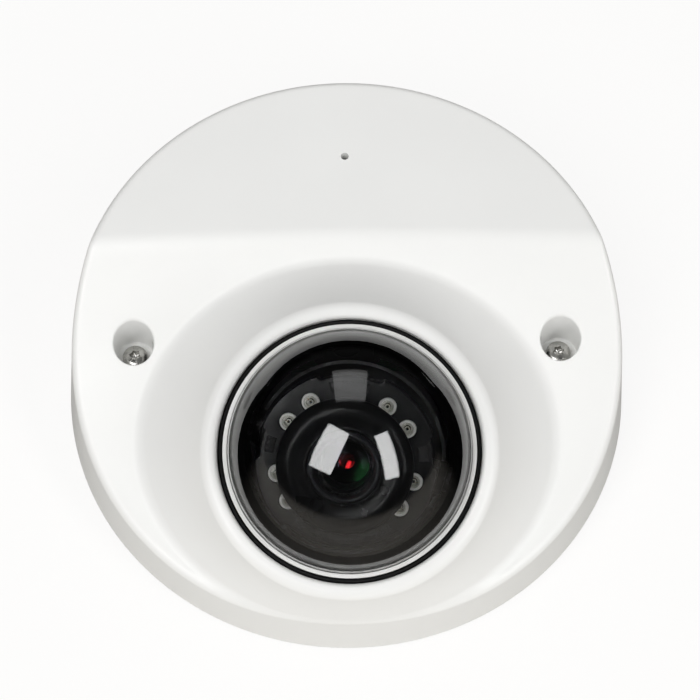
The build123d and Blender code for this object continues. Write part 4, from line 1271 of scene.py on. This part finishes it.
def seen_and_mirrored(tree):
    """Whether a ray comes straight from the camera, and whether gloss or glass sent it."""
    path = add_node(tree, "ShaderNodeLightPath")
    either = {0: path.outputs["Is Glossy Ray"], 1: path.outputs["Is Transmission Ray"]}
    return path.outputs["Is Camera Ray"], add_node(tree, "ShaderNodeMath", either, operation="MAXIMUM").outputs[0]


def light_room(size):
    """The world: white to the camera, an even light that grows low in front, and dim in gloss and glass.

    The real dome mirrors a dark room with softboxes in it, so what gloss and glass see has its own, low brightness.
    """
    world = bpy.data.worlds.new("room")
    tree = empty_tree(world)
    seen, mirrored = seen_and_mirrored(tree)
    way = add_node(tree, "ShaderNodeSeparateXYZ", {0: add_node(tree, "ShaderNodeTexCoord").outputs["Generated"]})
    ahead = {0: way.outputs[1], 1: 0.1, 2: -0.8, 4: size.front_room}
    front = add_node(tree, "ShaderNodeMapRange", ahead).outputs[0]
    low = add_node(tree, "ShaderNodeMapRange", {0: way.outputs[2], 1: 0.8, 2: 0.1}).outputs[0]
    share = add_node(tree, "ShaderNodeMath", {0: front, 1: low}, operation="MULTIPLY")
    room = add_node(tree, "ShaderNodeMath", {0: share.outputs[0], 1: size.room}, operation="ADD")
    lit = add_node(tree, "ShaderNodeMix", {0: mirrored, 2: room.outputs[0], 3: size.mirrored_room})
    strength = add_node(tree, "ShaderNodeMix", {0: seen, 2: lit.outputs[0], 3: 1.0})
    sky = add_node(tree, "ShaderNodeBackground", {"Color": (1, 1, 1, 1), "Strength": strength.outputs[0]})
    add_node(tree, "ShaderNodeOutputWorld", {"Surface": sky.outputs[0]})
    return world


def seamless_paper():
    """Seamless paper: off-white and matt, mostly white of its own to the camera, so that a soft shadow stays on it.

    Further out it turns to full white, as the world behind it. In gloss and glass it is as dark as the room, but
    for a pale strip in front of the object.
    """
    material = bpy.data.materials.new("paper_floor")
    tree = empty_tree(material)
    seen, mirrored = seen_and_mirrored(tree)
    spot = add_node(tree, "ShaderNodeTexCoord").outputs["Object"]
    along = add_node(tree, "ShaderNodeSeparateXYZ", {0: spot}).outputs[1]
    near = add_node(tree, "ShaderNodeMapRange", {0: along, 1: -30 * MM, 2: -90 * MM}).outputs[0]
    tones = {0: near, 6: (0.004, 0.004, 0.004, 1), 7: linear("#8b8781")}
    dim = add_node(tree, "ShaderNodeMix", tones, data_type="RGBA").outputs[2]
    tones = {0: mirrored, 6: linear("#f3f0ea"), 7: dim}
    tone = add_node(tree, "ShaderNodeMix", tones, data_type="RGBA").outputs[2]
    plain = add_node(tree, "ShaderNodeBsdfDiffuse", {"Color": tone})
    white = add_node(tree, "ShaderNodeEmission", {"Color": (1, 1, 1, 1), "Strength": 1.0})
    away = add_node(tree, "ShaderNodeVectorMath", {0: spot}, operation="LENGTH").outputs["Value"]
    fading = {0: away, 1: 150 * MM, 2: 500 * MM, 3: 0.85, 4: 1.0}
    own = add_node(tree, "ShaderNodeMapRange", fading).outputs[0]
    share = add_node(tree, "ShaderNodeMath", {0: seen, 1: own}, operation="MULTIPLY")
    mixed = add_node(tree, "ShaderNodeMixShader", {0: share.outputs[0], 1: plain.outputs[0], 2: white.outputs[0]})
    add_node(tree, "ShaderNodeOutputMaterial", {"Surface": mixed.outputs[0]})
    return material


# The camera's axes and place in the frame
CAMERA_AXES = [np.array(axis) for axis in (
    (0.99983, -0.01621, 0.00879), (0.01075, 0.89975, 0.43628), (-0.01498, -0.43611, 0.89977))]
CAMERA_PLACE = np.array([-8.198, -254.628, 543.286]) * MM

# Each softbox: its angles beside and above the camera, its lean, its width and its height, in degrees
SOFTBOXES = {"key": (-19.6, 3, -25, 23, 42), "second": (36, -3, 17, 14, 41), "above": (1, 66, 0, 26, 33)}
LAMP_DISTANCE, FLOOR_HALF = 0.9, 3.0


class DOMECAM_OT_stage(bpy.types.Operator):
    """Sets up the camera, the softboxes, the pale room and the floor"""
    bl_idname = "domecam.stage"
    bl_label = "Stage"

    def execute(self, context):
        scene, size = context.scene, context.scene.dome_camera.stage
        right, up, back = CAMERA_AXES
        lens = bpy.data.cameras.new("camera")
        lens.lens, lens.sensor_width, lens.clip_start, lens.clip_end = size.focal / MM, 36, 0.02, 50
        camera = bpy.data.objects.new("camera", lens)
        turn = Matrix(np.stack([right, up, back], 1).tolist()).to_4x4()
        turn.translation = Vector(CAMERA_PLACE)
        camera.matrix_world = turn
        scene.collection.objects.link(camera)
        scene.camera = camera

        target = np.array([0, -15 * MM, 25 * MM])
        for name, angles in SOFTBOXES.items():
            side, rise, lean, wide, high = (math.radians(part) for part in angles)
            direction = (right * math.sin(side) + back * math.cos(side)) * math.cos(rise) + up * math.sin(rise)
            level = up - np.dot(up, direction) * direction
            level = level / np.linalg.norm(level)
            upward = level * math.cos(lean) + np.cross(level, direction) * -math.sin(lean)
            wide, high = (2 * LAMP_DISTANCE * math.tan(part / 2) for part in (wide, high))
            softbox(name, target, direction, upward, LAMP_DISTANCE, wide, high, getattr(size, name))

        scene.world = light_room(size)
        half = FLOOR_HALF
        mesh = bpy.data.meshes.new("floor")
        corners = [(-half, -half, 0), (half, -half, 0), (half, half, 0), (-half, half, 0)]
        mesh.from_pydata(corners, [], [(0, 1, 2, 3)])
        mesh.materials.append(seamless_paper())
        floor = bpy.data.objects.new("floor", mesh)
        scene.collection.objects.link(floor)
        scene.view_settings.view_transform = "Standard"
        return {"FINISHED"}


STEPS = (DOMECAM_OT_stage, DOMECAM_OT_cover, DOMECAM_OT_screws, DOMECAM_OT_dome, DOMECAM_OT_bezel, DOMECAM_OT_leds,
         DOMECAM_OT_hood, DOMECAM_OT_lens, DOMECAM_OT_nodes)


class DOMECAM_PT_steps(bpy.types.Panel):
    """Lists the sizes and the steps of the dome camera"""
    bl_idname = "DOMECAM_PT_steps"
    bl_label = "Dome camera"
    bl_space_type = "VIEW_3D"
    bl_region_type = "UI"
    bl_category = "Dome camera"

    def draw(self, context):
        layout = self.layout
        for step in STEPS:
            layout.operator(step.bl_idname)
        for name in ("cover", "dome", "lens", "finish", "stage"):
            group = getattr(context.scene.dome_camera, name)
            box = layout.box()
            box.label(text=name.capitalize())
            for key in group.__annotations__:
                box.prop(group, key)


CLASSES = (CoverSizes, DomeSizes, LensUnitSizes, Finishes, StageSettings, DomeCamera, *STEPS, DOMECAM_PT_steps)


def register():
    for item in CLASSES:
        bpy.utils.register_class(item)
    bpy.types.Scene.dome_camera = PointerProperty(type=DomeCamera)


def unregister():
    del bpy.types.Scene.dome_camera
    for item in reversed(CLASSES):
        bpy.utils.unregister_class(item)


def main():
    register()
    for step in STEPS:
        group, name = step.bl_idname.split(".")
        if getattr(getattr(bpy.ops, group), name)() != {"FINISHED"}:
            raise RuntimeError(f"{step.bl_label} didn't finish")


if __name__ == "__main__":
    main()
